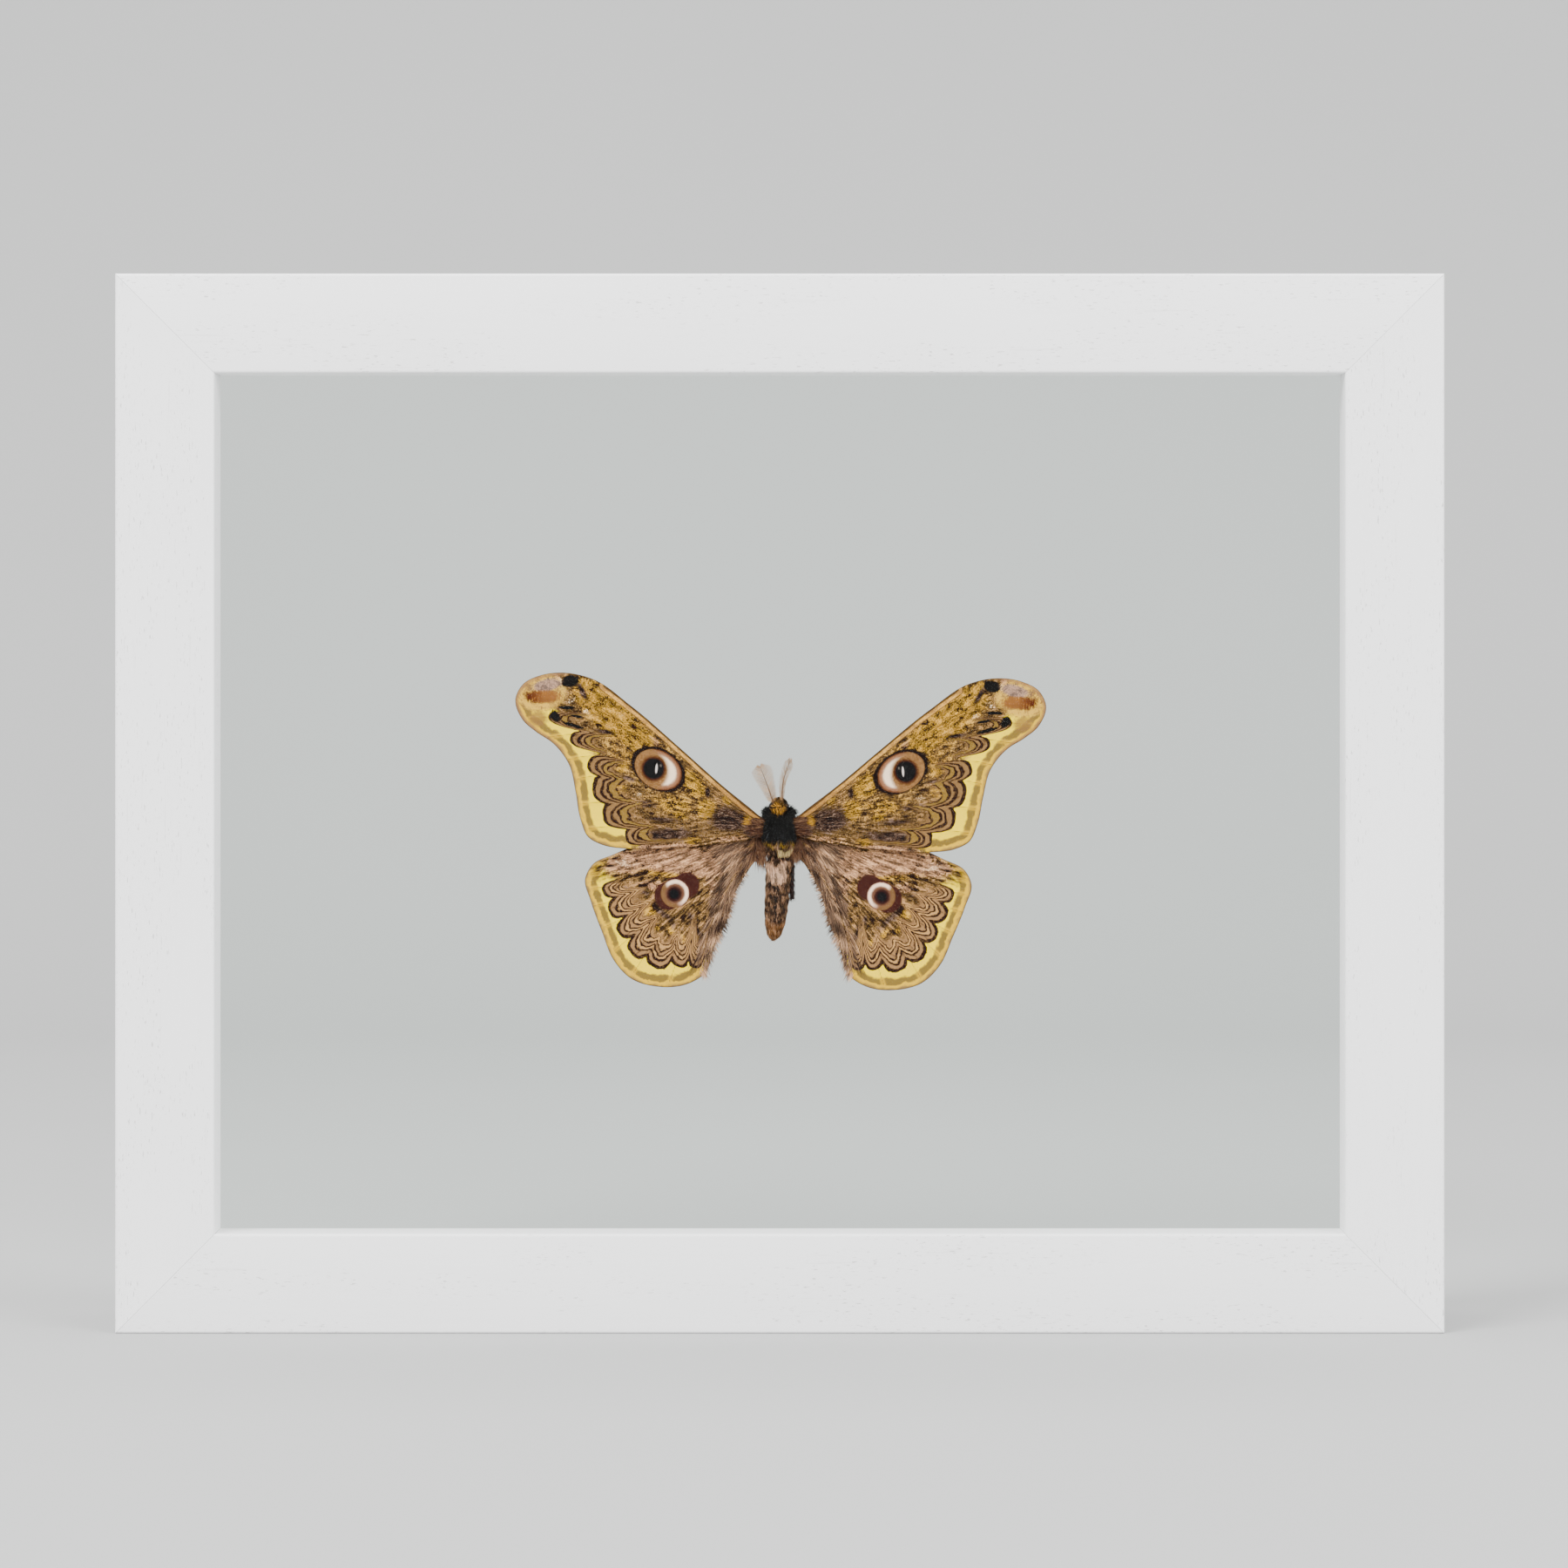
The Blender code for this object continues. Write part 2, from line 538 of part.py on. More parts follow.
def on_ellipsoid(centre, radii, around, up):
    """A spot on an ellipsoid, at an angle around it from the front and a share up it, and its normal."""
    ring = math.sqrt(max(0.0, 1 - up * up))
    unit = Vector((math.sin(around) * ring, -math.cos(around) * ring, up))
    spot = Vector(centre) + Vector([radius * share for radius, share in zip(radii, unit)])
    return spot, Vector([share / radius for radius, share in zip(radii, unit)]).normalized()


def build_thorax(collection, extras, chance):
    """The thorax: a rounded core under long locks that lie back over it, and over the wing roots."""
    thorax = mesh_object("thorax", ellipsoid(THORAX_CENTRE, THORAX_RADII), collection)
    for row in range(THORAX_LOCK_ROWS):
        up = 0.72 - 1.2 * row / (THORAX_LOCK_ROWS - 1)
        for column in range(THORAX_LOCKS_IN_ROW):
            share = (column + 0.5 * (row % 2)) / (THORAX_LOCKS_IN_ROW - 0.5) * 2 - 1
            around = math.radians(THORAX_LOCK_SPREAD) * share + chance.uniform(-0.05, 0.05)
            root, out = on_ellipsoid(THORAX_CENTRE, THORAX_RADII, around, up)
            lie = Vector((0.25 * share + chance.uniform(-0.12, 0.12), 0, -1))
            lock(root, lie, out, THORAX_LOCK, chance.uniform(0.55, 0.85), extras)
    length, half_width, half_thickness = SHOULDER_LOCK
    for hand in (-1, 1):
        for height in SHOULDER_LOCK_HEIGHTS:
            root = Vector((hand * SHOULDER_ROOT[0], SHOULDER_ROOT[1], height))
            plan = [root + Vector((hand * length * share, -rise, -drop * length))
                    for share, rise, drop in ((0.0, 0.0, 0.0), (0.45, 0.35, 0.08), (0.8, 0.3, 0.3), (1.0, 0.1, 0.5))]
            blade("lock", plan, half_width, half_thickness, Vector((0, 0, 1)), LOCK_TAPER, extras)
    fuse(thorax, extras)
    return thorax


def build_head(collection, extras, chance):
    """The head: a rounded core with a tuft of locks between the antennae."""
    head = mesh_object("head", ellipsoid(HEAD_CENTRE, HEAD_RADII), collection)
    for around in (-62, -30, 0, 30, 62):
        root, out = on_ellipsoid(HEAD_CENTRE, HEAD_RADII, math.radians(around), -0.3)
        lie = Vector((0.4 * math.sin(math.radians(around)), 0, -1))
        lock(root, lie, out, HEAD_LOCK, chance.uniform(0.4, 0.6), extras)
    fuse(head, extras)
    return head


def build_abdomen(collection, extras, chance):
    """The abdomen: a ringed core with locks along its sides, over its first rings and at its tip."""
    abdomen = mesh_object("abdomen", abdomen_form(), collection)
    length = ABDOMEN_TOP - ABDOMEN_TIP
    for along, arounds in ((0.30, (-100, -60, -20, 20, 60, 100)), (0.45, (-80, -40, 0, 40, 80)),
                           (0.62, (-100, -60, -20, 20, 60, 100)), (0.78, (-120, -80, -40, 0, 40, 80, 120)),
                           (0.90, (-150, -100, -60, -20, 20, 60, 100, 150))):
        fullness = (1 - 0.2 * along) * math.sqrt(1 - along**7)
        for degrees in arounds:
            around = math.radians(degrees) + chance.uniform(-0.08, 0.08)
            out = Vector((math.sin(around), -math.cos(around), -0.15 if along < 0.85 else -0.7)).normalized()
            root = Vector((math.sin(around) * ABDOMEN_HALF_WIDTH * fullness + ABDOMEN_LEAN * along**1.5,
                           -math.cos(around) * ABDOMEN_HALF_DEPTH * fullness, ABDOMEN_TOP - length * along))
            size = 1.0 if along < 0.85 else 0.85
            sizes = [share * size for share in ABDOMEN_LOCK]
            lock(root, Vector((0, 0, -1)), out, sizes, chance.uniform(0.15, 0.35), extras)
    fuse(abdomen, extras)
    return abdomen


def build_antenna(side, collection, extras):
    """One antenna: a tapering shaft with a comb of rami down both sides."""
    line = ANTENNA_LINES[side]
    shaft = tube(f"antenna_{side}", line, ANTENNA_SHAFT, 0.9, collection)
    spots = smooth_line(line, 0.05)
    for pair in range(RAMI_PAIRS):
        share = 0.14 + 0.83 * pair / (RAMI_PAIRS - 1)
        at = min(round(share * (len(spots) - 1)), len(spots) - 2)
        run = (spots[at + 1] - spots[at]).normalized()
        flat = run.cross(Vector((0, 1, 0))).normalized()
        turned = Matrix.Rotation(math.radians(ANTENNA_TURN[side]), 3, run) @ flat
        length = RAMUS_LONGEST * min(0.45 + 0.85 * share, 1.0, 0.35 + 3.2 * (1 - share))
        lean = math.radians(RAMUS_ANGLE)
        for hand in (-1, 1):
            reach = (turned * hand * math.sin(lean) + run * math.cos(lean)) * length
            plan = [spots[at] - reach * 0.05, spots[at] + reach * 0.5 - run * 0.04 * length, spots[at] + reach]
            blade("ramus", plan, RAMUS_HALF_WIDTH, RAMUS_HALF_WIDTH, run, (1.0, 0.9, 0.3), extras)
    fuse(shaft, extras)
    return shaft


def build_moth(collection, cutters, extras):
    """The body, eyes, antennae, wings and legs, each cut clear of what it grows from."""
    moth = bpy.data.objects.new("moth_mount", None)
    moth.location = Vector(MOTH_AT) * MM
    collection.objects.link(moth)

    thorax_cutter = mesh_object("cutter_thorax", ellipsoid(THORAX_CENTRE, THORAX_RADII, GAP), cutters)
    head_cutter = mesh_object("cutter_head", ellipsoid(HEAD_CENTRE, HEAD_RADII, GAP), cutters)
    for cutter in (thorax_cutter, head_cutter):
        cutter.hide_render = True
        cutter.display_type = "WIRE"

    chance = random.Random(5)
    finish(build_thorax(collection, extras, chance), "black_fur", moth)
    head = build_head(collection, extras, chance)
    cut_clear(head, thorax_cutter, "MANIFOLD")
    finish(head, "golden_fur", moth)
    abdomen = build_abdomen(collection, extras, chance)
    cut_clear(abdomen, thorax_cutter, "MANIFOLD")
    finish(abdomen, "brown_fur", moth)

    for side in ("left", "right"):
        out = -1 if side == "left" else 1
        eye_centre = (out * EYE_AT[0], EYE_AT[1], EYE_AT[2])
        eye = mesh_object(f"eye_{side}", ellipsoid(eye_centre, [EYE_RADIUS] * 3, segments=12, rings=8), collection)
        cut_clear(eye, head_cutter)
        cut_clear(eye, thorax_cutter)
        finish(eye, "eye", moth)
        antenna = build_antenna(side, collection, extras)
        cut_clear(antenna, head_cutter, "MANIFOLD")
        finish(antenna, "antenna", moth)
        for wing in WINGS:
            made = build_wing(wing, side, collection)
            if wing["fringed"]:
                build_fringe(wing, side, extras, chance)
                fuse(made, extras)
            cut_clear(made, thorax_cutter, "MANIFOLD")
            finish(made, "wing_scales", moth, 20)
        for pair, line in LEG_LINES[side].items():
            mirrored = [(out * x, y, z) for x, y, z in line]
            leg = tube(f"leg_{pair}_{side}", mirrored, LEG_RADII, 1.3, collection)
            cut_clear(leg, thorax_cutter)
            finish(leg, "leg", moth)

    dab_front = THORAX_RADII[1] + GAP
    dab_back = BACK_GLASS_AT - GAP - MOTH_AT[1]
    bm = bmesh.new()
    bmesh.ops.create_cone(bm, cap_ends=True, segments=16, radius1=DAB_RADIUS, radius2=DAB_RADIUS,
                          depth=dab_back - dab_front + DAB_SUNK)
    bmesh.ops.rotate(bm, matrix=Matrix.Rotation(math.radians(90), 3, "X"), verts=bm.verts)
    bmesh.ops.translate(bm, vec=(0, (dab_front + dab_back - DAB_SUNK) / 2, THORAX_CENTRE[2]), verts=bm.verts)
    dab = mesh_object("adhesive_dab", bm, collection)
    cut_clear(dab, thorax_cutter)
    finish(dab, "adhesive", moth)


def main():
    for old in list(bpy.data.objects):
        bpy.data.objects.remove(old)
    collection = bpy.data.collections.new("caligula_anna")
    cutters = bpy.data.collections.new("cutters")
    bpy.context.scene.collection.children.link(collection)
    bpy.context.scene.collection.children.link(cutters)
    build_case(collection)
    extras = bpy.data.collections.new("to_fuse")
    bpy.context.scene.collection.children.link(extras)
    build_moth(collection, cutters, extras)
    bpy.data.collections.remove(extras)


main()
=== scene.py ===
"""How a Caligula anna moth looks in its glazed white case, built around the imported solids.

The case is measured in millimetres from the middle of its foot, and the moth in millimetres from
the middle of its thorax, as (right, back, up). A finished piece is turned into metres.
"""

import math

import bmesh
import bpy
import numpy as np
from mathutils import Matrix, Vector, noise


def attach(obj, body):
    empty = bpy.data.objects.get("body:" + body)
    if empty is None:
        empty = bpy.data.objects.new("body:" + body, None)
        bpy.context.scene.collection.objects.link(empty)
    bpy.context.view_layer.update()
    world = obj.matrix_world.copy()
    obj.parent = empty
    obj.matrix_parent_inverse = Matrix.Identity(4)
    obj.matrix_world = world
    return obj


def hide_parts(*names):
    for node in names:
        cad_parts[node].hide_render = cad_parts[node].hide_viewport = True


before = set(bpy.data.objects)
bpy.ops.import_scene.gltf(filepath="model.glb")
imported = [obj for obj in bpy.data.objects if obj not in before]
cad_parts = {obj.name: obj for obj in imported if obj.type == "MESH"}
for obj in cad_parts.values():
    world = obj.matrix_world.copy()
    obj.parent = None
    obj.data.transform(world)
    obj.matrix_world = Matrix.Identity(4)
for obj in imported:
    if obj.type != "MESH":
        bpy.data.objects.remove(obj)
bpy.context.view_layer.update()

MM = 0.001

# The picture: a camera square to the case, aimed beside and above its middle
CAMERA_AT = (7.45, -917.0, 127.5)
SENSOR = 36.0
LENS = 108.2
CAMERA_SHIFT = (-0.0222, -0.0752)

# The case
CASE_WIDTH = 254.0
CASE_HEIGHT = 202.5
CASE_DEPTH = 34.0
FACE_WIDTH = 19.0
LIP_DEPTH = 10.0
WEB_WIDTH = 12.0
MITRE_GAP = 0.03
EDGE_ROUND = 0.55
PORE_GREY = (0.36, 0.33, 0.33, 1)
MIRRORED_HEAD_ON = 0.0015
MIRRORED_AT_SLANT = 0.6

# The moth
MOTH_AT = (-0.3, 3.0, 96.1)
THORAX = ((0.0, 0.0, -1.4), (2.85, 3.5, 4.7))
HEAD = ((0.0, -0.6, 4.0), (1.5, 1.8, 1.5))
SHOULDERS = [((side * 1.6, 0.2, 1.5), (1.1, 1.6, 1.6)) for side in (-1, 1)]
EYE_RADIUS = 0.64
EYE_AT = (1.35, -0.85, 4.15)
ABDOMEN_TOP = -4.2
ABDOMEN_TIP = -21.9
ABDOMEN_HALF_WIDTH = 2.35
ABDOMEN_HALF_DEPTH = 2.6
ABDOMEN_LEAN = -1.05
ABDOMEN_RINGS = 8
SKIN_VOXEL = 0.22
SKIN_EASING = 8
FUR_HAIRS = 17000
LEG_SHOWING = [
    (1.8, 2.4, -3.2), (2.3, 4.3, -5.6), (2.5, 4.4, -8.6), (2.45, 4.3, -12.0), (2.55, 4.2, -14.3)]
LEG_RADII = (0.50, 0.46)
LEG_HAIRS = 420
ANTENNAE = {
    "left": {"line": [(-0.9, -1.6, 4.2), (-2.2, -2.6, 8.0), (-3.7, -2.4, 11.9)], "turn": 10},
    "right": {"line": [(0.6, -1.6, 4.4), (0.8, -2.7, 8.8), (2.2, -2.4, 13.1)], "turn": 62},
}
SHAFT_RADII = (0.17, 0.06)
RAMI_PAIRS = 26
RAMUS_LONGEST = 2.4
RAMUS_LEAN = math.radians(54)
CILIA = 9

# The wings, as (out from the middle line, up)
WING_BOW = 1.6
WING_BOW_SPAN = 50.0
SHEET_STEP = 0.24
SHEET_HALF = 0.13
RIM_HALF = 0.03
VEIN_RAISE = 0.10
VEIN_SPREAD = 0.20
PLEAT = 0.10
COAT_SPOTS = 26000
SPIKES = 620
DRAPE_HAIRS = 420
ROOT_HAIRS = 420

FOREWING_OUTLINE = [
    (2.5, 1.0), (4.3, 2.6), (10.8, 7.9), (19.5, 15.6), (28.8, 23.6), (36.4, 28.9), (41.5, 30.1),
    (46.6, 29.6), (50.0, 27.9), (51.5, 25.0), (50.0, 20.8), (47.5, 18.6), (44.1, 16.3), (41.0, 12.2),
    (39.7, 6.8), (38.8, 1.7), (37.2, -2.0), (34.4, -3.5), (30.0, -4.2), (20.8, -4.1), (10.0, -3.0),
    (4.5, -2.0), (2.5, -1.2),
]
FOREWING_MARGIN = FOREWING_OUTLINE[8:19]
FOREWING_COSTA = [(2.5, 1.4), *FOREWING_OUTLINE[1:5], (34.0, 27.6)]
HINDWING_OUTLINE = [
    (2.4, -1.4), (8.0, -1.0), (18.0, -1.6), (27.0, -3.2), (32.4, -5.4), (36.4, -7.3), (37.9, -10.1),
    (36.8, -14.5), (34.6, -20.5), (32.2, -26.2), (29.1, -29.5), (23.5, -31.2), (18.0, -30.7),
    (14.6, -28.7), (12.5, -22.9), (10.3, -18.5), (8.3, -12.3), (6.5, -9.3), (4.8, -6.8), (2.4, -4.6),
]
HINDWING_MARGIN = HINDWING_OUTLINE[4:14]
HINDWING_INNER_MARGIN = [(6.3, -8.9), *HINDWING_OUTLINE[16:12:-1]]
FOREWING_VEINS = [
    [(5.8, 2.2), (16.4, 10.4), (25.2, 17.4), (31.0, 22.6), (35.0, 26.6)],
    [(4.8, 0.9), (12.6, 6.9), (19.8, 12.4), (24.9, 15.6)],
    [(24.9, 15.6), (30.6, 20.4), (36.0, 24.0), (42.0, 27.6)],
    [(30.6, 20.4), (37.0, 23.4), (43.5, 25.0), (50.0, 25.2)],
    [(25.6, 13.9), (32.6, 19.4), (40.4, 21.6), (48.6, 21.2)],
    [(25.9, 12.4), (33.0, 16.7), (39.8, 18.1), (45.2, 17.5)],
    [(25.6, 10.9), (32.2, 13.3), (36.8, 13.9), (41.2, 13.2)],
    [(25.0, 9.4), (30.5, 10.0), (35.4, 10.1), (39.3, 9.4)],
    [(19.4, 6.9), (26.0, 6.4), (32.8, 5.1), (38.4, 4.6)],
    [(12.6, 4.0), (21.0, 2.9), (29.6, 0.7), (37.2, -0.3)],
    [(4.8, 0.0), (12.6, 4.0), (19.4, 6.9), (25.0, 9.4)],
    [(5.0, -1.0), (14.3, -1.9), (22.8, -2.4), (29.5, -3.3)],
    [(24.9, 15.6), (25.6, 13.9), (25.9, 12.4), (25.6, 10.9), (25.0, 9.4)],
]
HINDWING_VEINS = [
    [(6.0, -2.5), (16.0, -4.0), (26.2, -5.2), (33.4, -6.9)],
    [(12.6, -6.8), (19.4, -7.6), (27.0, -8.5), (36.6, -9.3)],
    [(17.7, -9.3), (26.0, -10.8), (36.6, -12.0)],
    [(20.8, -11.5), (28.0, -13.4), (36.0, -15.4)],
    [(21.4, -13.2), (28.0, -16.6), (34.2, -19.6)],
    [(19.8, -14.6), (26.6, -19.4), (32.2, -24.2)],
    [(17.2, -13.3), (23.2, -20.6), (28.4, -28.4)],
    [(11.6, -9.6), (17.6, -20.0), (21.4, -30.2)],
    [(6.8, -6.4), (12.4, -16.5), (15.8, -28.6)],
    [(4.9, -3.3), (12.6, -6.8), (17.7, -9.3), (20.8, -11.5)],
    [(4.9, -4.3), (11.6, -9.6), (17.2, -13.3), (19.8, -14.6)],
    [(20.8, -11.5), (21.4, -13.2), (19.8, -14.6)],
]

# The scalloped markings, as nests of loops that open towards the wing's base: the tip of the outer loop,
# a spot that the nest opens towards, half its width where it meets its neighbour above and below, how
# far behind the tip it meets them, its scale, and how far it reaches
FOREWING_LOOPS = [
    ((45.0, 21.6), (35.9, 20.3), (1.5, 1.9), (4.5, 5.9), 0.80, 9.5),
    ((40.8, 17.3), (32.6, 16.3), (1.6, 1.9), (1.5, 3.8), 0.85, 8.5),
    ((37.4, 12.4), (28.4, 10.6), (1.8, 1.9), (1.1, 1.8), 0.90, 8.5),
    ((36.4, 7.3), (27.6, 7.5), (2.6, 2.9), (0.9, 2.6), 1.0, 9.0),
    ((34.5, 2.3), (19.3, 3.0), (2.2, 2.9), (0.9, 4.0), 1.0, 16.0),
    ((30.0, -2.0), (19.3, -0.7), (1.5, 1.6), (0.4, 1.2), 0.8, 13.0),
]
HINDWING_LOOPS = [
    ((34.6, -12.4), (26.0, -10.6), (1.5, 1.8), (2.2, 1.6), 0.85, 9.0),
    ((33.2, -16.7), (24.5, -12.7), (2.2, 2.0), (1.6, 1.7), 1.0, 10.0),
    ((31.3, -20.9), (24.5, -16.2), (2.1, 2.0), (1.6, 1.7), 1.0, 9.5),
    ((28.9, -24.9), (22.7, -19.0), (2.3, 2.4), (1.8, 2.0), 1.0, 9.5),
    ((24.2, -27.6), (20.9, -19.0), (2.6, 2.3), (2.0, 1.7), 1.0, 10.5),
    ((19.3, -27.5), (18.2, -19.0), (2.0, 1.4), (1.6, 1.1), 0.9, 10.5),
    ((16.4, -27.6), (15.3, -19.8), (1.4, 1.4), (1.1, 1.1), 0.85, 9.0),
]

# Soft patches of a wing: middle, half length, half width, turn in degrees and strength
FOREWING_PATCHES = {
    "gold": [
        (36.4, 25.3, 3.4, 2.7, 42, 1.5), (32.4, 21.6, 4.6, 3.2, 42, 1.5), (28.0, 17.7, 3.6, 2.4, 42, 1.4),
        (27.0, 15.0, 14.0, 6.5, 42, 0.44), (30.5, 12.0, 1.6, 1.6, 0, 0.8), (16.8, 8.4, 3.2, 2.0, 45, 1.0),
        (14.2, 3.5, 1.6, 1.7, 0, 1.5), (19.4, 2.4, 1.4, 0.8, 20, 1.1), (16.9, -2.6, 1.6, 1.0, 0, 0.8),
        (31.2, 7.4, 1.7, 1.0, 0, 1.0), (20.5, 4.5, 5.0, 2.2, 10, 0.55), (5.9, 1.4, 1.0, 0.9, 0, 1.6),
        (10.2, 5.2, 1.2, 0.6, 40, 0.9), (38.6, 28.6, 0.8, 0.9, 0, 0.9),
    ],
    "dark": [
        (9.8, 1.4, 3.4, 2.2, 8, 1.25), (23.5, -1.7, 7.0, 1.3, -4, 1.0), (13.9, 6.8, 0.5, 1.1, 0, 1.0),
        (26.0, 4.4, 2.2, 0.6, 8, 0.8), (23.0, 1.5, 3.6, 0.5, 4, 0.8), (38.4, 26.5, 0.6, 1.9, -28, 0.9),
        (4.6, -1.2, 1.8, 1.8, 0, 0.9), (34.0, 18.6, 2.4, 0.5, 10, 0.8), (29.6, 9.6, 1.6, 0.4, 15, 0.7),
    ],
    "black": [
        (40.8, 28.45, 1.7, 1.1, -10, 1.6), (43.7, 21.6, 1.5, 1.0, 60, 1.2),
        (38.3, 23.9, 2.4, 0.8, -35, 0.6), (41.4, 23.3, 2.2, 0.42, 0, 1.1),
        (40.0, 19.8, 2.8, 0.45, 17, 1.1), (39.5, 21.6, 2.2, 0.36, 11, 1.0),
    ],
    "rose": [
        (22.0, -3.9, 8.0, 0.7, -3, 0.9), (9.5, -2.3, 5.0, 0.7, -4, 0.55), (43.2, 28.6, 0.8, 1.2, 0, 1.0),
        (24.5, 16.8, 1.8, 0.8, 40, 0.8),
    ],
    "rust": [(5.6, 3.3, 3.4, 0.6, 41, 1.0)],
    "white": [
        (40.4, 24.8, 1.4, 0.6, -35, 0.6), (37.4, 22.8, 1.0, 0.7, 0, 0.45), (27.3, 6.3, 1.2, 0.7, 0, 0.5),
        (42.6, 27.9, 0.35, 1.3, 0, 0.8), (11.0, 1.6, 2.4, 1.6, 0, 0.2),
    ],
}
HINDWING_PATCHES = {
    "gold": [
        (25.4, -16.0, 1.6, 1.3, 30, 1.0), (22.0, -9.4, 7.0, 0.8, 8, 0.55), (21.0, -20.6, 1.4, 0.5, 60, 0.9),
        (18.4, -22.6, 1.6, 0.5, 70, 0.9), (23.9, -19.5, 1.4, 0.5, 50, 0.8),
    ],
    "dark": [
        (22.6, -17.0, 3.6, 0.8, 40, 0.7), (12.6, -16.0, 2.2, 1.0, 65, 0.7),
        (16.4, -19.4, 3.0, 0.7, 65, 0.9), (6.0, -6.0, 3.0, 1.0, -50, 1.0),
        (27.4, -12.6, 2.6, 0.5, 12, 0.8), (33.0, -7.6, 1.2, 0.3, 0, 0.7), (31.0, -6.4, 2.0, 0.25, 5, 0.7),
    ],
    "rose": [
        (19.0, -6.6, 12.0, 2.6, 6, 1.3), (9.5, -5.4, 6.0, 2.4, 20, 1.1), (30.0, -7.4, 4.0, 1.4, 5, 1.2),
        (12.0, -12.5, 4.4, 1.5, 60, 0.8), (24.6, -11.4, 2.4, 1.0, 10, 0.7),
    ],
    "rust": [(13.9, -24.6, 0.9, 3.4, -18, 0.7), (23.0, -8.6, 3.4, 0.8, 5, 0.45)],
    "white": [
        (30.4, -7.2, 3.2, 1.0, 6, 0.5), (10.5, -9.0, 3.4, 0.7, 62, 0.45), (12.5, -14.0, 2.6, 0.5, 70, 0.45),
        (16.5, -21.5, 1.8, 0.4, 70, 0.5), (14.6, -21.5, 1.8, 0.4, 75, 0.5),
    ],
}

# How much of the light a surface gives back to show each level on screen, from 0 to 255
LEVELS = (0, 42, 58, 76, 96, 118, 136, 153, 170, 184, 194, 202, 209, 214, 218)
SHARES = (
    0.0015, 0.005, 0.015, 0.029, 0.047, 0.074, 0.107, 0.154, 0.22, 0.316, 0.42, 0.544, 0.684, 0.83, 0.95)
SATURATION = 1.02


def shade(colour):
    """A colour as it is read off a screen, as the shares of the light that its surface gives back."""
    shares = np.interp(colour, LEVELS, SHARES)
    grey = shares @ (0.3, 0.6, 0.1)
    return (*np.clip(grey + (shares - grey) * SATURATION, SHARES[0], SHARES[-1]), 1.0)


DARK_LINE = (54, 32, 16)
TAN = (163, 132, 86)
TAN_PINK = (176, 146, 104)
TAN_PALE = (194, 170, 122)
OCHRE = (162, 135, 68)
LUNULE = (216, 205, 40)
CREAM = (206, 188, 70)
OLIVE = (146, 124, 70)
BORDER = (172, 146, 95)
GROUND_DARK = (84, 60, 42)
BLACK = (34, 26, 22)
RUST = (150, 96, 46)
SCALE_WHITE = (214, 204, 188)

# Specks of a wing's ground, from the deepest up: where each starts along the mottling, and its colour
BROWN_SPECKS = [
    (0.0, (52, 36, 22)), (0.38, (94, 69, 42)), (0.46, (130, 99, 60)),
    (0.55, (160, 130, 82)), (0.66, (194, 168, 126))]
GOLD_SPECKS = [
    (0.0, (60, 40, 18)), (0.37, (118, 88, 38)), (0.45, (172, 142, 58)),
    (0.56, (192, 162, 74)), (0.66, (206, 186, 108))]
DARK_SPECKS = [
    (0.0, (46, 33, 30)), (0.48, (70, 50, 42)), (0.57, (104, 80, 68)),
    (0.66, (154, 128, 112))]
ROSE_SPECKS = [
    (0.0, (112, 82, 60)), (0.36, (150, 118, 90)), (0.45, (176, 144, 114)),
    (0.57, (194, 166, 136)), (0.68, (210, 190, 162))]

# Across a nest of loops, from its outer line inwards: where each band starts, and its colour
BANDS_REACH = 8.0
FOREWING_NEST = [
    (0.0, DARK_LINE), (0.70, TAN), (1.62, DARK_LINE), (2.32, TAN), (2.90, DARK_LINE), (3.54, OCHRE),
    (4.66, DARK_LINE), (5.22, TAN)]
HINDWING_NEST = [
    (0.0, DARK_LINE), (0.70, TAN_PINK), (1.38, DARK_LINE), (1.86, TAN_PALE), (2.36, DARK_LINE),
    (2.80, TAN_PINK), (3.46, DARK_LINE), (3.88, TAN_PALE), (4.46, DARK_LINE), (4.84, TAN_PINK)]

# Down the body: where the markings are measured from and how far they reach, and the abdomen's chevrons
FUR_TOP = 6.0
BODY_REACH = 30.0
CHEVRONS = (17.0, 18.5, 19.2, 20.1, 20.8, 21.7, 22.4, 23.3, 23.9)
CHEVRON_TINTS = ((54, 34, 22), (150, 118, 84))

# The lamps, as place, size and watts, all aimed at the case, and the even light around it
LAMPS = {
    "lamp_left": ((-0.9, -1.1, 1.1), 0.9, 46.0),
    "lamp_right": ((1.0, -1.0, 0.7), 0.9, 24.5),
    "lamp_above": ((0.0, 0.1, 1.4), 1.0, 22.5),
}
LAMPS_AIM = (0.0, 0.0, 0.1)
ROOM_LIGHT = 1.3

WINGS = {
    "forewing": {
        "outline": FOREWING_OUTLINE, "margin": FOREWING_MARGIN, "veins": FOREWING_VEINS,
        "loops": FOREWING_LOOPS, "patches": FOREWING_PATCHES, "depth": -1.5, "hinge": (5.7, 2.5),
        "droop": 1.7, "growth": 1.2, "roundness": 2.3,
    },
    "hindwing": {
        "outline": HINDWING_OUTLINE, "margin": HINDWING_MARGIN, "veins": HINDWING_VEINS,
        "loops": HINDWING_LOOPS, "patches": HINDWING_PATCHES, "depth": -0.4, "hinge": (4.4, -2.0),
        "droop": 2.0, "growth": 2.8, "roundness": 1.6,
    },
}


# Working with meshes

def linked(name, data):
    """A new object in the scene."""
    made = bpy.data.objects.new(name, data)
    bpy.context.scene.collection.objects.link(made)
    return made


def mesh_object(name, bm):
    """An object from a bmesh, which is freed."""
    mesh = bpy.data.meshes.new(name)
    bm.to_mesh(mesh)
    bm.free()
    return linked(name, mesh)


def only(kind, parts):
    """The parts of one kind, such as a bmesh's corners or edges."""
    return [part for part in parts if isinstance(part, kind)]


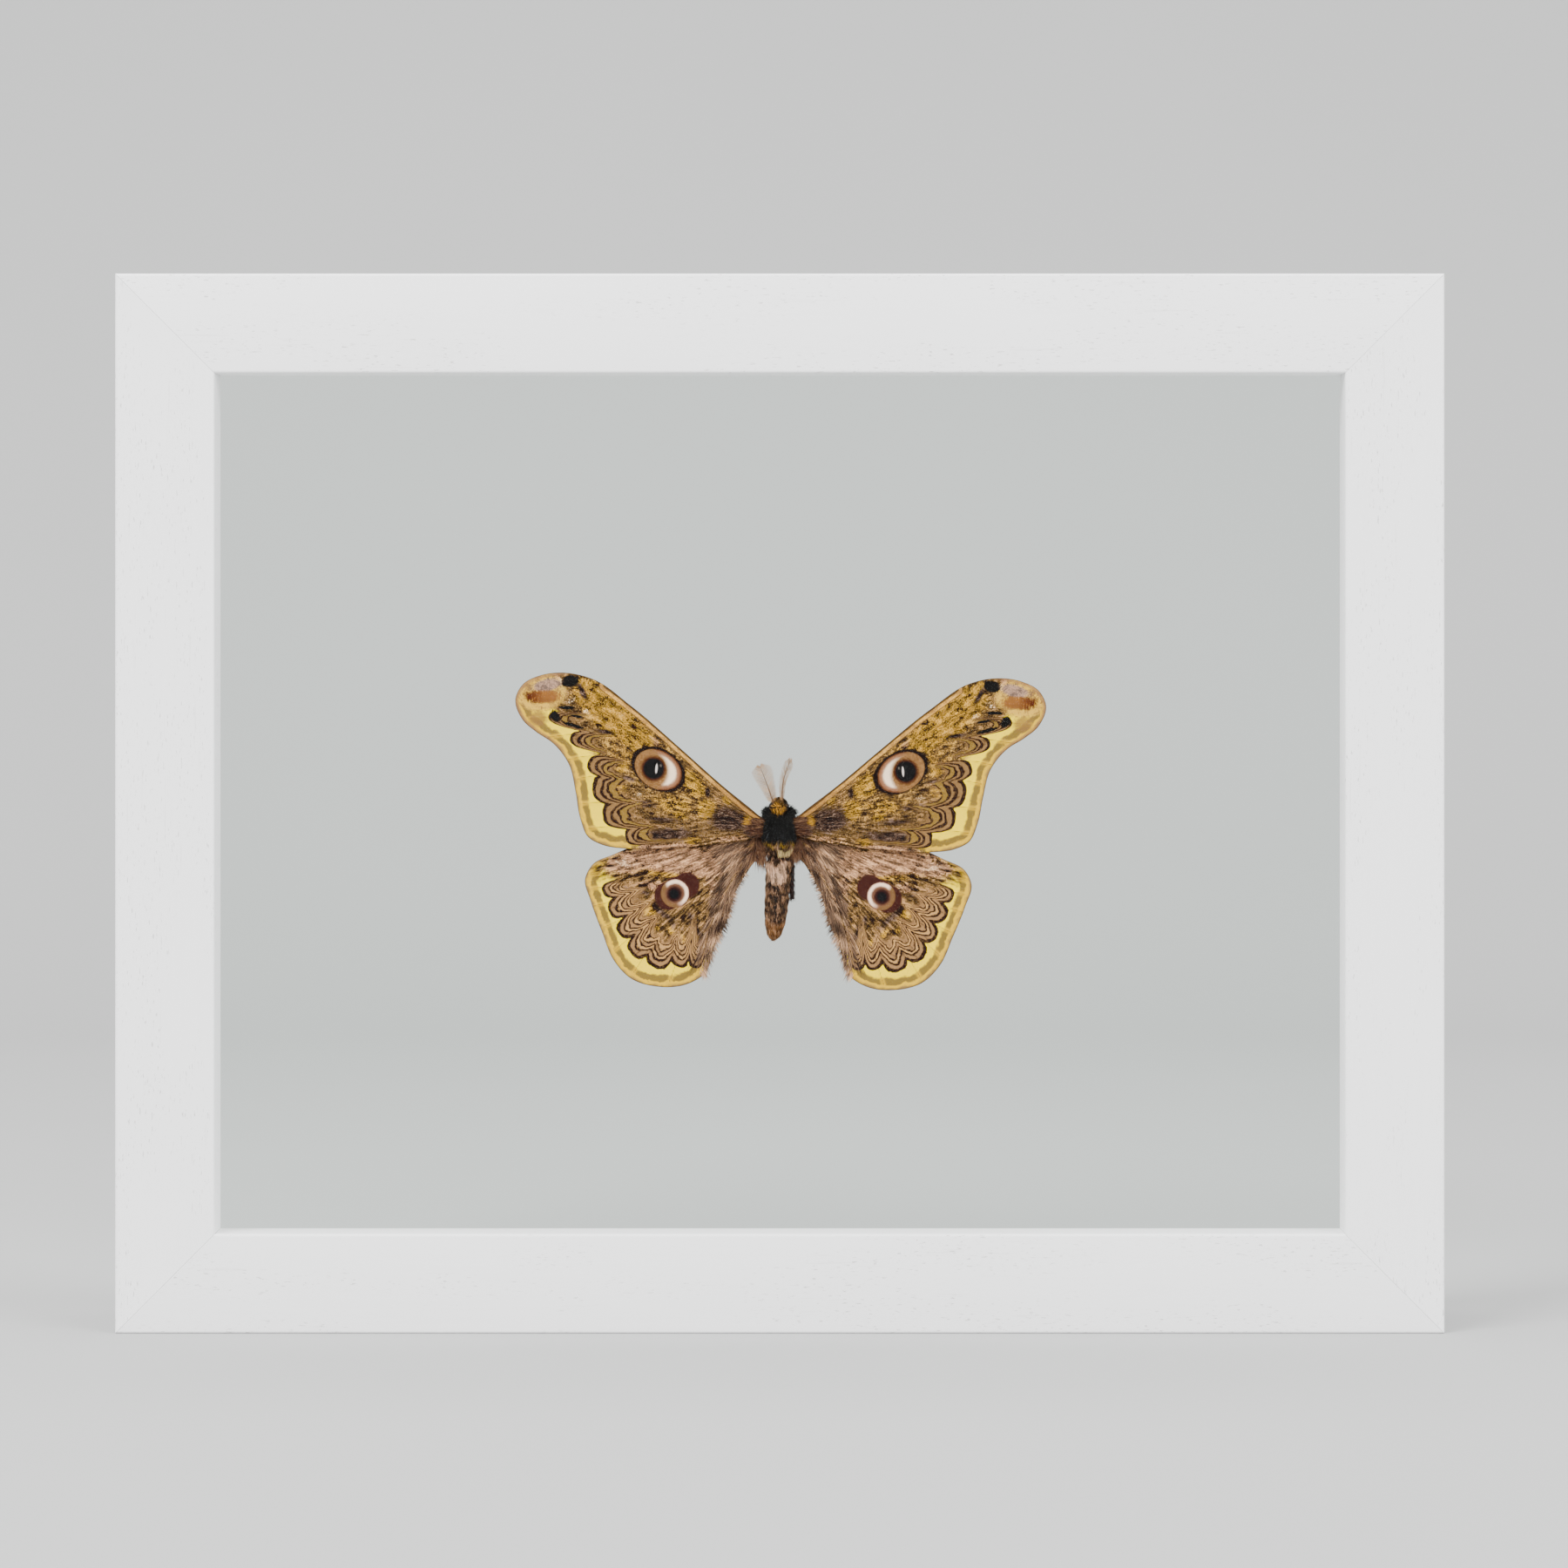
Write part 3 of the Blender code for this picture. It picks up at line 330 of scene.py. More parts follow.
def move_out(bm, drawn, move):
    """Move the new corners of what was drawn out, and give back its edges."""
    bmesh.ops.translate(bm, vec=move, verts=only(bmesh.types.BMVert, drawn))
    return only(bmesh.types.BMEdge, drawn)


def evaluated_mesh(piece):
    """The mesh that a piece's modifiers, or its curve, make."""
    bpy.context.view_layer.update()
    return bpy.data.meshes.new_from_object(piece.evaluated_get(bpy.context.evaluated_depsgraph_get()))


def apply_modifiers(piece):
    """Replace a piece's mesh by what its modifiers make of it."""
    made = evaluated_mesh(piece)
    piece.modifiers.clear()
    piece.data = made


def finish(piece, material, slot, *nodes, at=(0, 0, 0)):
    """Put a finished piece in its place, in metres, and hide the CAD nodes it stands for."""
    piece.data.transform(Matrix.Scale(MM, 4) @ Matrix.Translation(at))
    piece.data.materials.clear()
    piece.data.materials.append(material)
    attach(piece, "root")
    if nodes:
        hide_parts(*nodes)


def corners(mesh):
    """The places of a mesh's corners, as an array."""
    places = np.empty(len(mesh.vertices) * 3)
    mesh.vertices.foreach_get("co", places)
    return places.reshape(-1, 3)


def set_corners(mesh, places):
    """Move a mesh's corners."""
    mesh.vertices.foreach_set("co", np.asarray(places, float).ravel())
    mesh.update()


def note(mesh, **noted):
    """Keep numbers, or places, at each corner, for the material to read."""
    for name, values in noted.items():
        values = np.asarray(values, float)
        kind, key = ("FLOAT", "value") if values.ndim == 1 else ("FLOAT_VECTOR", "vector")
        mesh.attributes.new(name, kind, "POINT").data.foreach_set(key, values.ravel())


def lay_out(mesh, spots):
    """Give a mesh the layout its colours are kept by, from a spot for each corner."""
    which = np.empty(len(mesh.loops), int)
    mesh.loops.foreach_get("vertex_index", which)
    mesh.uv_layers.new(name="OFBake").data.foreach_set("uv", np.asarray(spots)[which].ravel())


def smooth_line(points, spacing, closed=False):
    """Points about a set distance apart on the smooth curve through the given ones."""
    knots = [Vector(point) for point in points]
    count = len(knots)

    def slope(i):
        if not closed and i in (0, count - 1):
            j = min(i, count - 2)
            return (knots[j + 1] - knots[j]).normalized()
        before = knots[i % count] - knots[i - 1]
        after = knots[(i + 1) % count] - knots[i % count]
        mixed = before.normalized() * after.length + after.normalized() * before.length
        return mixed / (before.length + after.length)

    line = []
    for i in range(count if closed else count - 1):
        start, end = knots[i], knots[(i + 1) % count]
        chord = (end - start).length
        steps = max(1, round(chord / spacing))
        for step in range(steps):
            t = step / steps
            line.append(start * (2 * t**3 - 3 * t**2 + 1) + slope(i) * chord * (t**3 - 2 * t**2 + t)
                        + end * (3 * t**2 - 2 * t**3) + slope((i + 1) % count) * chord * (t**3 - t**2))
    if not closed:
        line.append(knots[-1])
    return np.array([list(spot) for spot in line])


def nearest_on(spots, line):
    """How far each spot is from a line of points, and the nearest place on it."""
    best = np.full(len(spots), 1e9)
    where = np.zeros_like(spots)
    for start, end in zip(line, line[1:]):
        run = end - start
        along = np.clip((spots - start) @ run / (run @ run), 0, 1)
        place = start + along[:, None] * run
        away = np.linalg.norm(spots - place, axis=1)
        closer = away < best
        best[closer] = away[closer]
        where[closer] = place[closer]
    return best, where


def inside(spots, outline):
    """Whether each spot lies inside a closed outline."""
    within = np.zeros(len(spots), bool)
    for start, end in zip(outline, np.roll(outline, -1, axis=0)):
        if start[1] != end[1]:
            level = (start[1] > spots[:, 1]) != (end[1] > spots[:, 1])
            crossing = start[0] + (spots[:, 1] - start[1]) / (end[1] - start[1]) * (end[0] - start[0])
            within ^= level & (spots[:, 0] < crossing)
    return within


# Working with materials

class Value:
    """A number, a place or a colour worked out in a material. Each method carries on from it."""

    def __init__(self, paint, socket):
        self.paint, self.socket = paint, socket

    def math(self, operation, other=0.0, clamp=False):
        return self.paint.node("ShaderNodeMath", {0: self, 1: other}, operation=operation, use_clamp=clamp)

    def __add__(self, other):
        return self.math("ADD", other)

    def __sub__(self, other):
        return self.math("SUBTRACT", other)

    def __mul__(self, other):
        return self.math("MULTIPLY", other)

    def __abs__(self):
        return self.math("ABSOLUTE")

    def step(self, low, high):
        """0 below low and 1 above high, with a soft rise between. It falls where high is the lower."""
        inputs = {"Value": self, "From Min": low, "From Max": high}
        return self.paint.node("ShaderNodeMapRange", inputs, interpolation_type="SMOOTHSTEP")

    def shake(self, grain, amount):
        """A number made uneven by a noise around one half."""
        return self + (grain - 0.5) * amount

    def blend(self, below, above):
        """Two colours, from the first where the number is 0 to the second where it is 1."""
        return self.paint.node("ShaderNodeMix", {0: self, 6: below, 7: above}, 2, data_type="RGBA")

    def covered(self, mask, above):
        """This colour, with another over it as far as a mask says."""
        return mask.blend(self, above)

    def stripes(self, bands, soft, reach=1.0):
        """Bands of colour, each from its own number up to the next one's."""
        made = self.paint.node("ShaderNodeValToRGB", {0: self.math("DIVIDE", reach)})
        ramp = made.socket.node.color_ramp
        stops = [(0.0, bands[0][1])]
        for (_, before), (start, colour) in zip(bands, bands[1:]):
            stops += [((start - soft) / reach, before), ((start + soft) / reach, colour)]
        for i, (position, colour) in enumerate(stops):
            stop = ramp.elements[i] if i < 2 else ramp.elements.new(position)
            stop.position = position
            stop.color = shade(colour)
        return made

    def parts(self):
        """The three numbers of a place."""
        first = self.paint.node("ShaderNodeSeparateXYZ", {0: self})
        return [Value(self.paint, socket) for socket in first.socket.node.outputs]

    def stretch(self, shares):
        """A place with each of its numbers times its own share, so that what is drawn there runs long."""
        return self.paint.node("ShaderNodeVectorMath", {0: self, 1: shares}, operation="MULTIPLY")

    def noise(self, scale, detail=2.0, roughness=0.5):
        inputs = {"Vector": self, "Scale": scale, "Detail": detail, "Roughness": roughness}
        return self.paint.node("ShaderNodeTexNoise", inputs)

    def local(self, centre, size=(1, 1), turn=0.0):
        """Places about a centre, turned and measured in the given sizes."""
        inputs = {"Vector": self, "Location": (*centre, 0), "Rotation": (0, 0, math.radians(turn)),
                  "Scale": (*size, 1)}
        return self.paint.node("ShaderNodeMapping", inputs, vector_type="TEXTURE")

    def length(self):
        return self.paint.node("ShaderNodeVectorMath", {0: self}, "Value", operation="LENGTH")

    def away(self, centre, grain, amount, size=(1, 1), turn=0.0):
        """How far places lie from a centre, a little uneven: 1 on an oval of the given size."""
        return self.local(centre, size, turn).length().shake(grain, amount)


class Paint:
    """A material being mixed. A colour of three numbers is one read off a screen, and a colour of four
    gives the shares of the light themselves."""

    def __init__(self, name, roughness=0.5, **sockets):
        self.material = bpy.data.materials.new(name)
        self.material.use_nodes = True
        self.tree = self.material.node_tree
        self.shader = self.tree.nodes["Principled BSDF"]
        self.shader.inputs["Roughness"].default_value = roughness
        for socket, value in sockets.items():
            self.shader.inputs[socket.replace("_", " ")].default_value = value

    def node(self, kind, inputs, output=0, **settings):
        """Add a node, and give back what it puts out."""
        made = self.tree.nodes.new(kind)
        for setting, value in settings.items():
            setattr(made, setting, value)
        for socket, value in inputs.items():
            end = made.inputs[socket]
            if isinstance(value, Value):
                self.tree.links.new(value.socket, end)
            else:
                end.default_value = shade(value) if end.type == "RGBA" and len(value) == 3 else value
        return Value(self, made.outputs[output])

    def place(self):
        """The place on the object, in millimetres."""
        where = self.node("ShaderNodeTexCoord", {}, "Object")
        return self.node("ShaderNodeVectorMath", {0: where, "Scale": 1 / MM}, operation="SCALE")

    def number(self, name):
        """A number that is kept at each corner."""
        return self.node("ShaderNodeAttribute", {}, "Fac", attribute_name=name)

    def spot(self, name):
        """A place that is kept at each corner."""
        return self.node("ShaderNodeAttribute", {}, "Vector", attribute_name=name)

    def joined(self, first, second):
        """A place from its first two numbers."""
        return self.node("ShaderNodeCombineXYZ", {0: first, 1: second})

    def finish(self, colour, height=None, bump=0.1, distance=0.1):
        """Join the colour, and a height for the bump, to the shader."""
        self.tree.links.new(colour.socket, self.shader.inputs["Base Color"])
        if height is not None:
            inputs = {"Height": height, "Strength": bump, "Distance": distance * MM}
            self.tree.links.new(self.node("ShaderNodeBump", inputs).socket, self.shader.inputs["Normal"])
        return self.material


def painted_wood(name, grain):
    """White paint over open-grained wood: grey pores in groups along the grain, and faint brush lines."""
    paint = Paint(name, roughness=0.42, Coat_Weight=0.05)

    def drawn_out(along, across):
        return paint.place().stretch((along, across, across) if grain == "x" else (across, across, along))

    groups = drawn_out(0.20, 1.0).noise(0.14)
    pores = drawn_out(0.20, 1.0).noise(3.4).step(0.62, 0.72) * groups.step(0.44, 0.60)
    brush = drawn_out(0.05, 1.4).noise(1.0, 4.0, 0.6)
    lines = brush.step(0.60, 0.70) * groups.step(0.42, 0.58)
    colour = brush.blend((0.90, 0.90, 0.905, 1), (0.95, 0.95, 0.95, 1))
    colour = colour.covered(lines * 0.16, PORE_GREY).covered(pores * 0.65, PORE_GREY)
    return paint.finish(colour, brush * 0.35 - pores, 0.25, 0.06)


def clear_glass():
    """Thin glass that lets light straight through and mirrors a little, more so at a slant."""
    paint = Paint("clear_glass")
    paint.tree.nodes.remove(paint.shader)
    through = paint.node("ShaderNodeBsdfTransparent", {"Color": (0.975, 0.988, 0.982, 1)})
    mirror = paint.node("ShaderNodeBsdfGlossy", {"Roughness": 0.02})
    slant = paint.node("ShaderNodeLayerWeight", {"Blend": 0.5}, "Facing").math("POWER", 5.0)
    mirrored = slant * MIRRORED_AT_SLANT + MIRRORED_HEAD_ON
    mixed = paint.node("ShaderNodeMixShader", {0: mirrored, 1: through, 2: mirror})
    paint.tree.links.new(mixed.socket, paint.tree.nodes["Material Output"].inputs["Surface"])
    return paint.material


def wing_ground(paint, plan, place, grainy, streaky):
    """The mottled scales of a wing: fine specks over streaks that run out from its root, in grounds of
    brown, rose, gold and near black."""
    across = plan.parts()
    rays = paint.joined(across[1].math("ARCTAN2", across[0]) * 16.0, plan.length() * 0.14)
    streaks = rays.noise(2.4, 4.0, 0.65)
    grains = place.noise(4.4, 2.0, 0.65)
    clouds = place.noise(0.7, 3.0, 0.6)
    mottle = ((grains - 0.5) * grainy + 0.5).shake(streaks, streaky).shake(clouds, 0.5)
    colour = mottle.stripes(BROWN_SPECKS, 0.02)
    for name, specks in (("rose", ROSE_SPECKS), ("gold", GOLD_SPECKS), ("dark", DARK_SPECKS)):
        strength = paint.number(name).shake(clouds, 1.3).shake(streaks, 1.0).shake(grains, 1.6)
        colour = colour.covered(strength.step(0.36, 0.58), mottle.stripes(specks, 0.02))
    for name, tint in (("rust", RUST), ("white", SCALE_WHITE)):
        strength = paint.number(name).shake(streaks, 1.2).shake(grains, 1.8)
        colour = colour.covered(strength.step(0.50, 0.75), tint)
    return colour, mottle, streaks


def wing_bands(paint, colour, across, place, streaks, bands, start):
    """The border and pale lunules of the outer margin, and the nests of dark loops inside them."""
    wobble = place.noise(0.6)
    fine = place.noise(3.2)
    band, loop, vein = paint.number("band"), paint.number("loop"), paint.number("vein")
    shaken = band.shake(wobble, 1.4).shake(fine, 0.5)
    margin = shaken.stripes([(0.0, BORDER), (0.40, CREAM), (2.3, LUNULE)], 0.25, BANDS_REACH)
    shadow = shaken.step(0.95, 1.25) * shaken.step(2.50, 2.05) * (vein.step(0.15, 0.75) * 0.6 + 0.3)
    margin = margin.covered(shadow, OLIVE).covered(fine.step(0.50, 0.72) * 0.15, OLIVE)
    outside = band.shake(streaks, 4.0).step(6.4, 4.6) * loop.step(0.3, 0.0)
    colour = colour.covered(outside * across[0].step(start, start + 2.0), margin)

    loop = (loop * (wobble * 0.5 + 0.75)).shake(wobble, 0.5).shake(fine, 0.30)
    nest = loop.stripes(bands, 0.08, BANDS_REACH)
    nest = nest.covered(fine.step(0.52, 0.66) * 0.16, TAN_PALE)
    nest = nest.covered(streaks.step(0.46, 0.34) * 0.55, DARK_LINE)
    lasting = paint.number("loop_run").shake(streaks, 1.2).step(1.15, 0.75)
    within = loop.step(-0.03, 0.06) * loop.shake(streaks, 5.0).step(6.6, 4.6)
    return colour.covered(within * lasting, nest)


def wing_veins(paint, colour):
    """Veins as thin brown lines."""
    return colour.covered(paint.number("vein").step(0.15, 0.05) * 0.55, (88, 62, 40))


def rim_and_back(paint, colour, mottle):
    """The dark line around a wing, and its back, where the same markings are dusted over."""
    colour = colour.covered(paint.number("edge").step(0.15, 0.05) * 0.75, (84, 58, 36))
    dust = mottle.step(0.40, 0.60).blend((140, 124, 114), (190, 174, 158))
    return colour.covered(paint.number("back") * 0.6, dust)


def forewing_scales():
    """The forewing's markings: its pale costa, the patches of its apex and its oval eyespot."""
    paint = Paint("forewing_scales", roughness=0.75, Specular_IOR_Level=0.05)
    plan, place = paint.spot("plan"), paint.place()
    colour, mottle, streaks = wing_ground(paint, plan, place, 1.0, 1.1)
    grains = place.noise(3.4, 2.0, 0.6)
    across = plan.parts()
    costa = paint.number("costa")
    pale = mottle.step(0.42, 0.60).blend((184, 152, 88), (206, 184, 116))
    pale = pale.covered(across[0].step(14.0, 7.0) * 0.6, (160, 118, 66))
    colour = colour.covered(costa.step(1.25, 0.95) * 0.92, pale)
    rib = costa.step(0.95, 1.05) * costa.step(1.30, 1.15) * 0.6
    colour = colour.covered(rib.math("MAXIMUM", costa.step(0.46, 0.30) * 0.9), GROUND_DARK)
    colour = wing_veins(paint, wing_bands(paint, colour, across, place, streaks, FOREWING_NEST, 27.0))

    black = paint.number("black").shake(grains, 0.8).shake(streaks, 0.5).step(0.45, 0.70)
    colour = colour.covered(black, BLACK)
    cream = mottle.step(0.38, 0.58).blend((170, 138, 84), (204, 186, 100))
    apex = plan.away((46.6, 26.2), grains, 0.3, (5.2, 3.9), -8).step(1.10, 0.78)
    colour = colour.covered(apex - black, cream)
    smoke = plan.away((47.0, 21.2), mottle, 0.6, (2.0, 1.6), 10).step(1.25, 0.55)
    colour = colour.covered(smoke * 0.85, (166, 134, 80))
    ashen = mottle.step(0.36, 0.60).blend((136, 112, 100), (188, 166, 148))
    grey = plan.away((45.3, 27.7), mottle, 0.8, (3.0, 1.3), -13).step(1.15, 0.75)
    colour = colour.covered(grey, ashen)
    rays = plan.stretch((2.6, 0.7, 1.0)).noise(1.0)
    rust = plan.away((46.3, 25.4), mottle, 0.4, (4.1, 1.5)).shake(rays, 0.8).step(1.10, 0.65)
    deep = across[0].shake(rays, 3.0).shake(grains, 2.0).step(45.4, 48.8)
    umber = deep.blend((162, 116, 64), (106, 54, 30))
    umber = umber.covered(rays.step(0.56, 0.68) * 0.6, (190, 150, 80))
    colour = colour.covered(rust * across[1].step(26.95, 26.55), umber)
    brim = paint.number("edge").step(0.85, 0.35) * across[0].step(41.0, 43.5)
    colour = colour.covered(brim * 0.75, (172, 138, 100))

    ring = plan.away((23.5, 11.3), grains, 0.14, (5.8, 4.0), 31)
    inner = plan.away((23.55, 11.2), grains, 0.10, (4.95, 3.74), 31)
    pupil = plan.away((24.45, 11.4), grains, 0.4)
    bow = plan.away((25.7, 10.95), grains, 0.4)
    iris = grains.step(0.42, 0.60).blend((150, 112, 68), (174, 140, 92))
    iris = iris.covered(pupil.step(2.9, 2.1), (92, 52, 32))
    crescent = inner.step(0.68, 0.82).blend((216, 207, 196), (174, 136, 104))
    crescent = crescent.covered(inner.step(0.82, 1.0), (108, 62, 42))
    iris = iris.covered(across[0].step(25.0, 23.6) * bow.step(3.65, 4.65), crescent)
    long_glint = plan.away((23.9, 11.4), grains, 0.3, (0.24, 1.05), 6)
    short_glint = plan.away((23.1, 12.0), grains, 0.3, (0.22, 0.32))
    for reach, outside, within, tint in (
            (ring, 1.03, 0.96, (46, 24, 14)), (inner, 1.01, 0.95, iris), (pupil, 2.15, 1.85, (38, 32, 34)),
            (long_glint, 1.1, 0.7, (204, 198, 196)), (short_glint, 1.1, 0.7, (118, 104, 98))):
        colour = colour.covered(reach.step(outside, within), tint)
    return paint.finish(rim_and_back(paint, colour, mottle), mottle, 0.35, 0.10)


def hindwing_scales():
    """The hindwing's markings, with its round eyespot and the lobe of its ring."""
    paint = Paint("hindwing_scales", roughness=0.78, Specular_IOR_Level=0.05)
    plan, place = paint.spot("plan"), paint.place()
    ground, mottle, streaks = wing_ground(paint, plan, place, 0.75, 1.8)
    grains = place.noise(3.4, 2.0, 0.6)
    colour = wing_bands(paint, ground, plan.parts(), place, streaks, HINDWING_NEST, 11.0)
    corner = plan.away((27.8, -7.0), streaks, 1.4, (7.6, 3.7), -14).step(1.25, 0.75)
    colour = wing_veins(paint, colour.covered(corner, ground))

    maroon = grains.step(0.30, 0.70).blend((66, 34, 30), (96, 56, 48))
    for centre, radius in (((21.6, -13.4), 2.8), ((18.1, -11.4), 2.6), ((19.9, -12.4), 2.8)):
        disc = plan.away(centre, grains, 0.6)
        colour = colour.covered(disc.step(radius + 0.2, radius - 0.2), maroon)
    outer = plan.away((20.3, -12.95), grains, 0.3)
    pupil = plan.away((20.45, -13.08), grains, 0.4)
    towards_top = plan.local((20.43, -13.08), turn=37).parts()[1]
    towards_foot = plan.local((20.43, -13.08), turn=-30).parts()[0]
    arc = towards_top.step(-1.8, 0.4).blend((168, 124, 106), (218, 206, 196))
    arc = arc.covered(outer.step(2.40, 2.80), (140, 88, 76))
    arc = arc.covered(towards_foot.step(-0.1, 0.9), (148, 112, 72))
    for reach, outside, within, tint in (
            (outer, 2.90, 2.65, arc), (outer, 2.20, 1.70, (140, 98, 76)),
            (pupil, 1.80, 1.20, (64, 40, 30)), (pupil, 1.15, 0.75, (34, 34, 40))):
        colour = colour.covered(reach.step(outside, within), tint)
    return paint.finish(rim_and_back(paint, colour, mottle), mottle, 0.35, 0.10)


# The case

def mitred_rail(name, side):
    """One painted rail: its section swept along, its ends cut at 45 degrees, its edges rounded."""
    back, lip_back, front = CASE_DEPTH / 2, -CASE_DEPTH / 2 + LIP_DEPTH, -CASE_DEPTH / 2
    section = [(0, front), (FACE_WIDTH, front), (FACE_WIDTH, lip_back), (WEB_WIDTH, lip_back),
               (WEB_WIDTH, back), (0, back)]
    length = CASE_WIDTH if side in ("bottom", "top") else CASE_HEIGHT
    turn, place = {
        "bottom": (0, (0, 0, 0)),
        "top": (180, (0, 0, CASE_HEIGHT)),
        "left": (90, (-CASE_WIDTH / 2, 0, CASE_HEIGHT / 2)),
        "right": (-90, (CASE_WIDTH / 2, 0, CASE_HEIGHT / 2)),
    }[side]
    bm = bmesh.new()
    profile = bm.faces.new([bm.verts.new((-length / 2, depth, inward)) for inward, depth in section])
    move_out(bm, bmesh.ops.extrude_face_region(bm, geom=[profile])["geom"], (length, 0, 0))
    long_edges = [edge for edge in bm.edges if abs(edge.verts[0].co.x - edge.verts[1].co.x) > 1]
    bmesh.ops.bevel(bm, geom=long_edges, offset=EDGE_ROUND, affect="EDGES", segments=4, profile=0.5,
                    material=-1)
    for end in (-1, 1):
        bmesh.ops.bisect_plane(bm, geom=bm.verts[:] + bm.edges[:] + bm.faces[:],
                               plane_co=(end * (length / 2 - MITRE_GAP), 0, 0),
                               plane_no=(end, 0, 1), clear_outer=True)
        bmesh.ops.contextual_create(bm, geom=[edge for edge in bm.edges if edge.is_boundary])
    bmesh.ops.recalc_face_normals(bm, faces=bm.faces)
    rail = mesh_object(name, bm)
    rail.data.transform(Matrix.Translation(place) @ Matrix.Rotation(math.radians(turn), 4, "Y"))
    rail.data.shade_smooth()
    rail.data.set_sharp_from_angle(angle=math.radians(35))
    return rail


def build_case():
    """The painted rails, and the finishes of the panes, spacers and beads in their rebate."""
    level, upright = painted_wood("painted_wood_level", "x"), painted_wood("painted_wood_upright", "z")
    for side, material in (("bottom", level), ("left", upright), ("top", level), ("right", upright)):
        finish(mitred_rail(f"case_rail_{side}", side), material, "painted_wood", f"rail_{side}")
        for kind in ("spacer", "bead"):
            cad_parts[f"{kind}_{side}"].material_slots[0].material = material
    glass = clear_glass()
    for pane in ("glass_front", "glass_back"):
        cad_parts[pane].material_slots[0].material = glass


# The wings

def patch_strength(spots, patches):
    """How strongly each spot lies in soft patches: a patch's full strength in its middle, less away."""
    total = np.zeros(len(spots))
    for x, y, half_length, half_width, turn, strength in patches:
        angle = math.radians(turn)
        away = spots - (x, y)
        along = (away[:, 0] * math.cos(angle) + away[:, 1] * math.sin(angle)) / half_length
        across = (away[:, 1] * math.cos(angle) - away[:, 0] * math.sin(angle)) / half_width
        total = np.maximum(total, strength * np.exp(-(along**2 + across**2)))
    return total


def loop_depth(spots, loops, growth, roundness):
    """How deep each spot lies in the nests of loops, below 0 outside them, and how far along its nest's
    reach. Neighbouring nests meet in cusps, and the deeper a line is, the further back its cusps are."""
    depth = np.full(len(spots), -9.0)
    run = np.zeros(len(spots))
    for tip, aim, half_widths, shoulders, scale, reach in loops:
        axis = np.subtract(aim, tip) / math.dist(aim, tip)
        along = (spots - tip) @ axis
        across = (spots - tip) @ (axis[1], -axis[0])
        half_width = np.where(across > 0, *half_widths)
        shoulder = np.where(across > 0, *shoulders)
        share = np.abs(across / half_width) ** roundness / (1 + growth)
        here = (along - share * (np.maximum(along, 0) * growth + shoulder)) / scale
        deeper = here > depth
        depth[deeper] = here[deeper]
        run[deeper] = along[deeper] / reach
    return depth, run


def wing_place(wing, side, outward, up, lift):
    """Spots of a wing's flat plan, in the moth: bowed, and mirrored on the left. The right wings droop
    about their hinges."""
    hinge_out, hinge_up = wing["hinge"]
    angle = math.radians(wing["droop"]) if side == "right" else 0.0
    x, z = outward - hinge_out, up - hinge_up
    turned_x = x * math.cos(angle) + z * math.sin(angle) + hinge_out
    turned_z = z * math.cos(angle) - x * math.sin(angle) + hinge_up
    depth = wing["depth"] + WING_BOW * (outward / WING_BOW_SPAN) ** 2 + lift
    return np.stack([-turned_x if side == "left" else turned_x, depth, turned_z], axis=1)


def wing_sheet(name, outline):
    """A fine closed sheet in the shape of an outline, one millimetre thick, lying flat about y = 0."""
    low, high = outline.min(0), outline.max(0)
    span = high - low
    bm = bmesh.new()
    place = Matrix.Translation((*(low + high) / 2, 0)) @ Matrix.Diagonal((*span, 1, 1))
    bmesh.ops.create_grid(bm, x_segments=int(span[0] / SHEET_STEP), y_segments=int(span[1] / SHEET_STEP),
                          size=0.5, matrix=place)
    spots = np.array([vert.co[:2] for vert in bm.verts])
    kept = inside(spots, outline)
    bmesh.ops.delete(bm, geom=[vert for vert, keep in zip(bm.verts[:], kept) if not keep], context="VERTS")
    bmesh.ops.delete(bm, geom=[vert for vert in bm.verts if not vert.link_faces], context="VERTS")
    rim = [vert for vert in bm.verts if vert.is_boundary]
    _, snapped = nearest_on(np.array([vert.co[:2] for vert in rim]), np.vstack([outline, outline[:1]]))
    for vert, spot in zip(rim, snapped):
        vert.co = (*spot, 0)
    move_out(bm, bmesh.ops.extrude_face_region(bm, geom=bm.faces[:])["geom"], (0, 0, 1))
    bmesh.ops.recalc_face_normals(bm, faces=bm.faces)
    bmesh.ops.rotate(bm, matrix=Matrix.Rotation(math.radians(90), 3, "X"), verts=bm.verts)
    return mesh_object(name, bm)


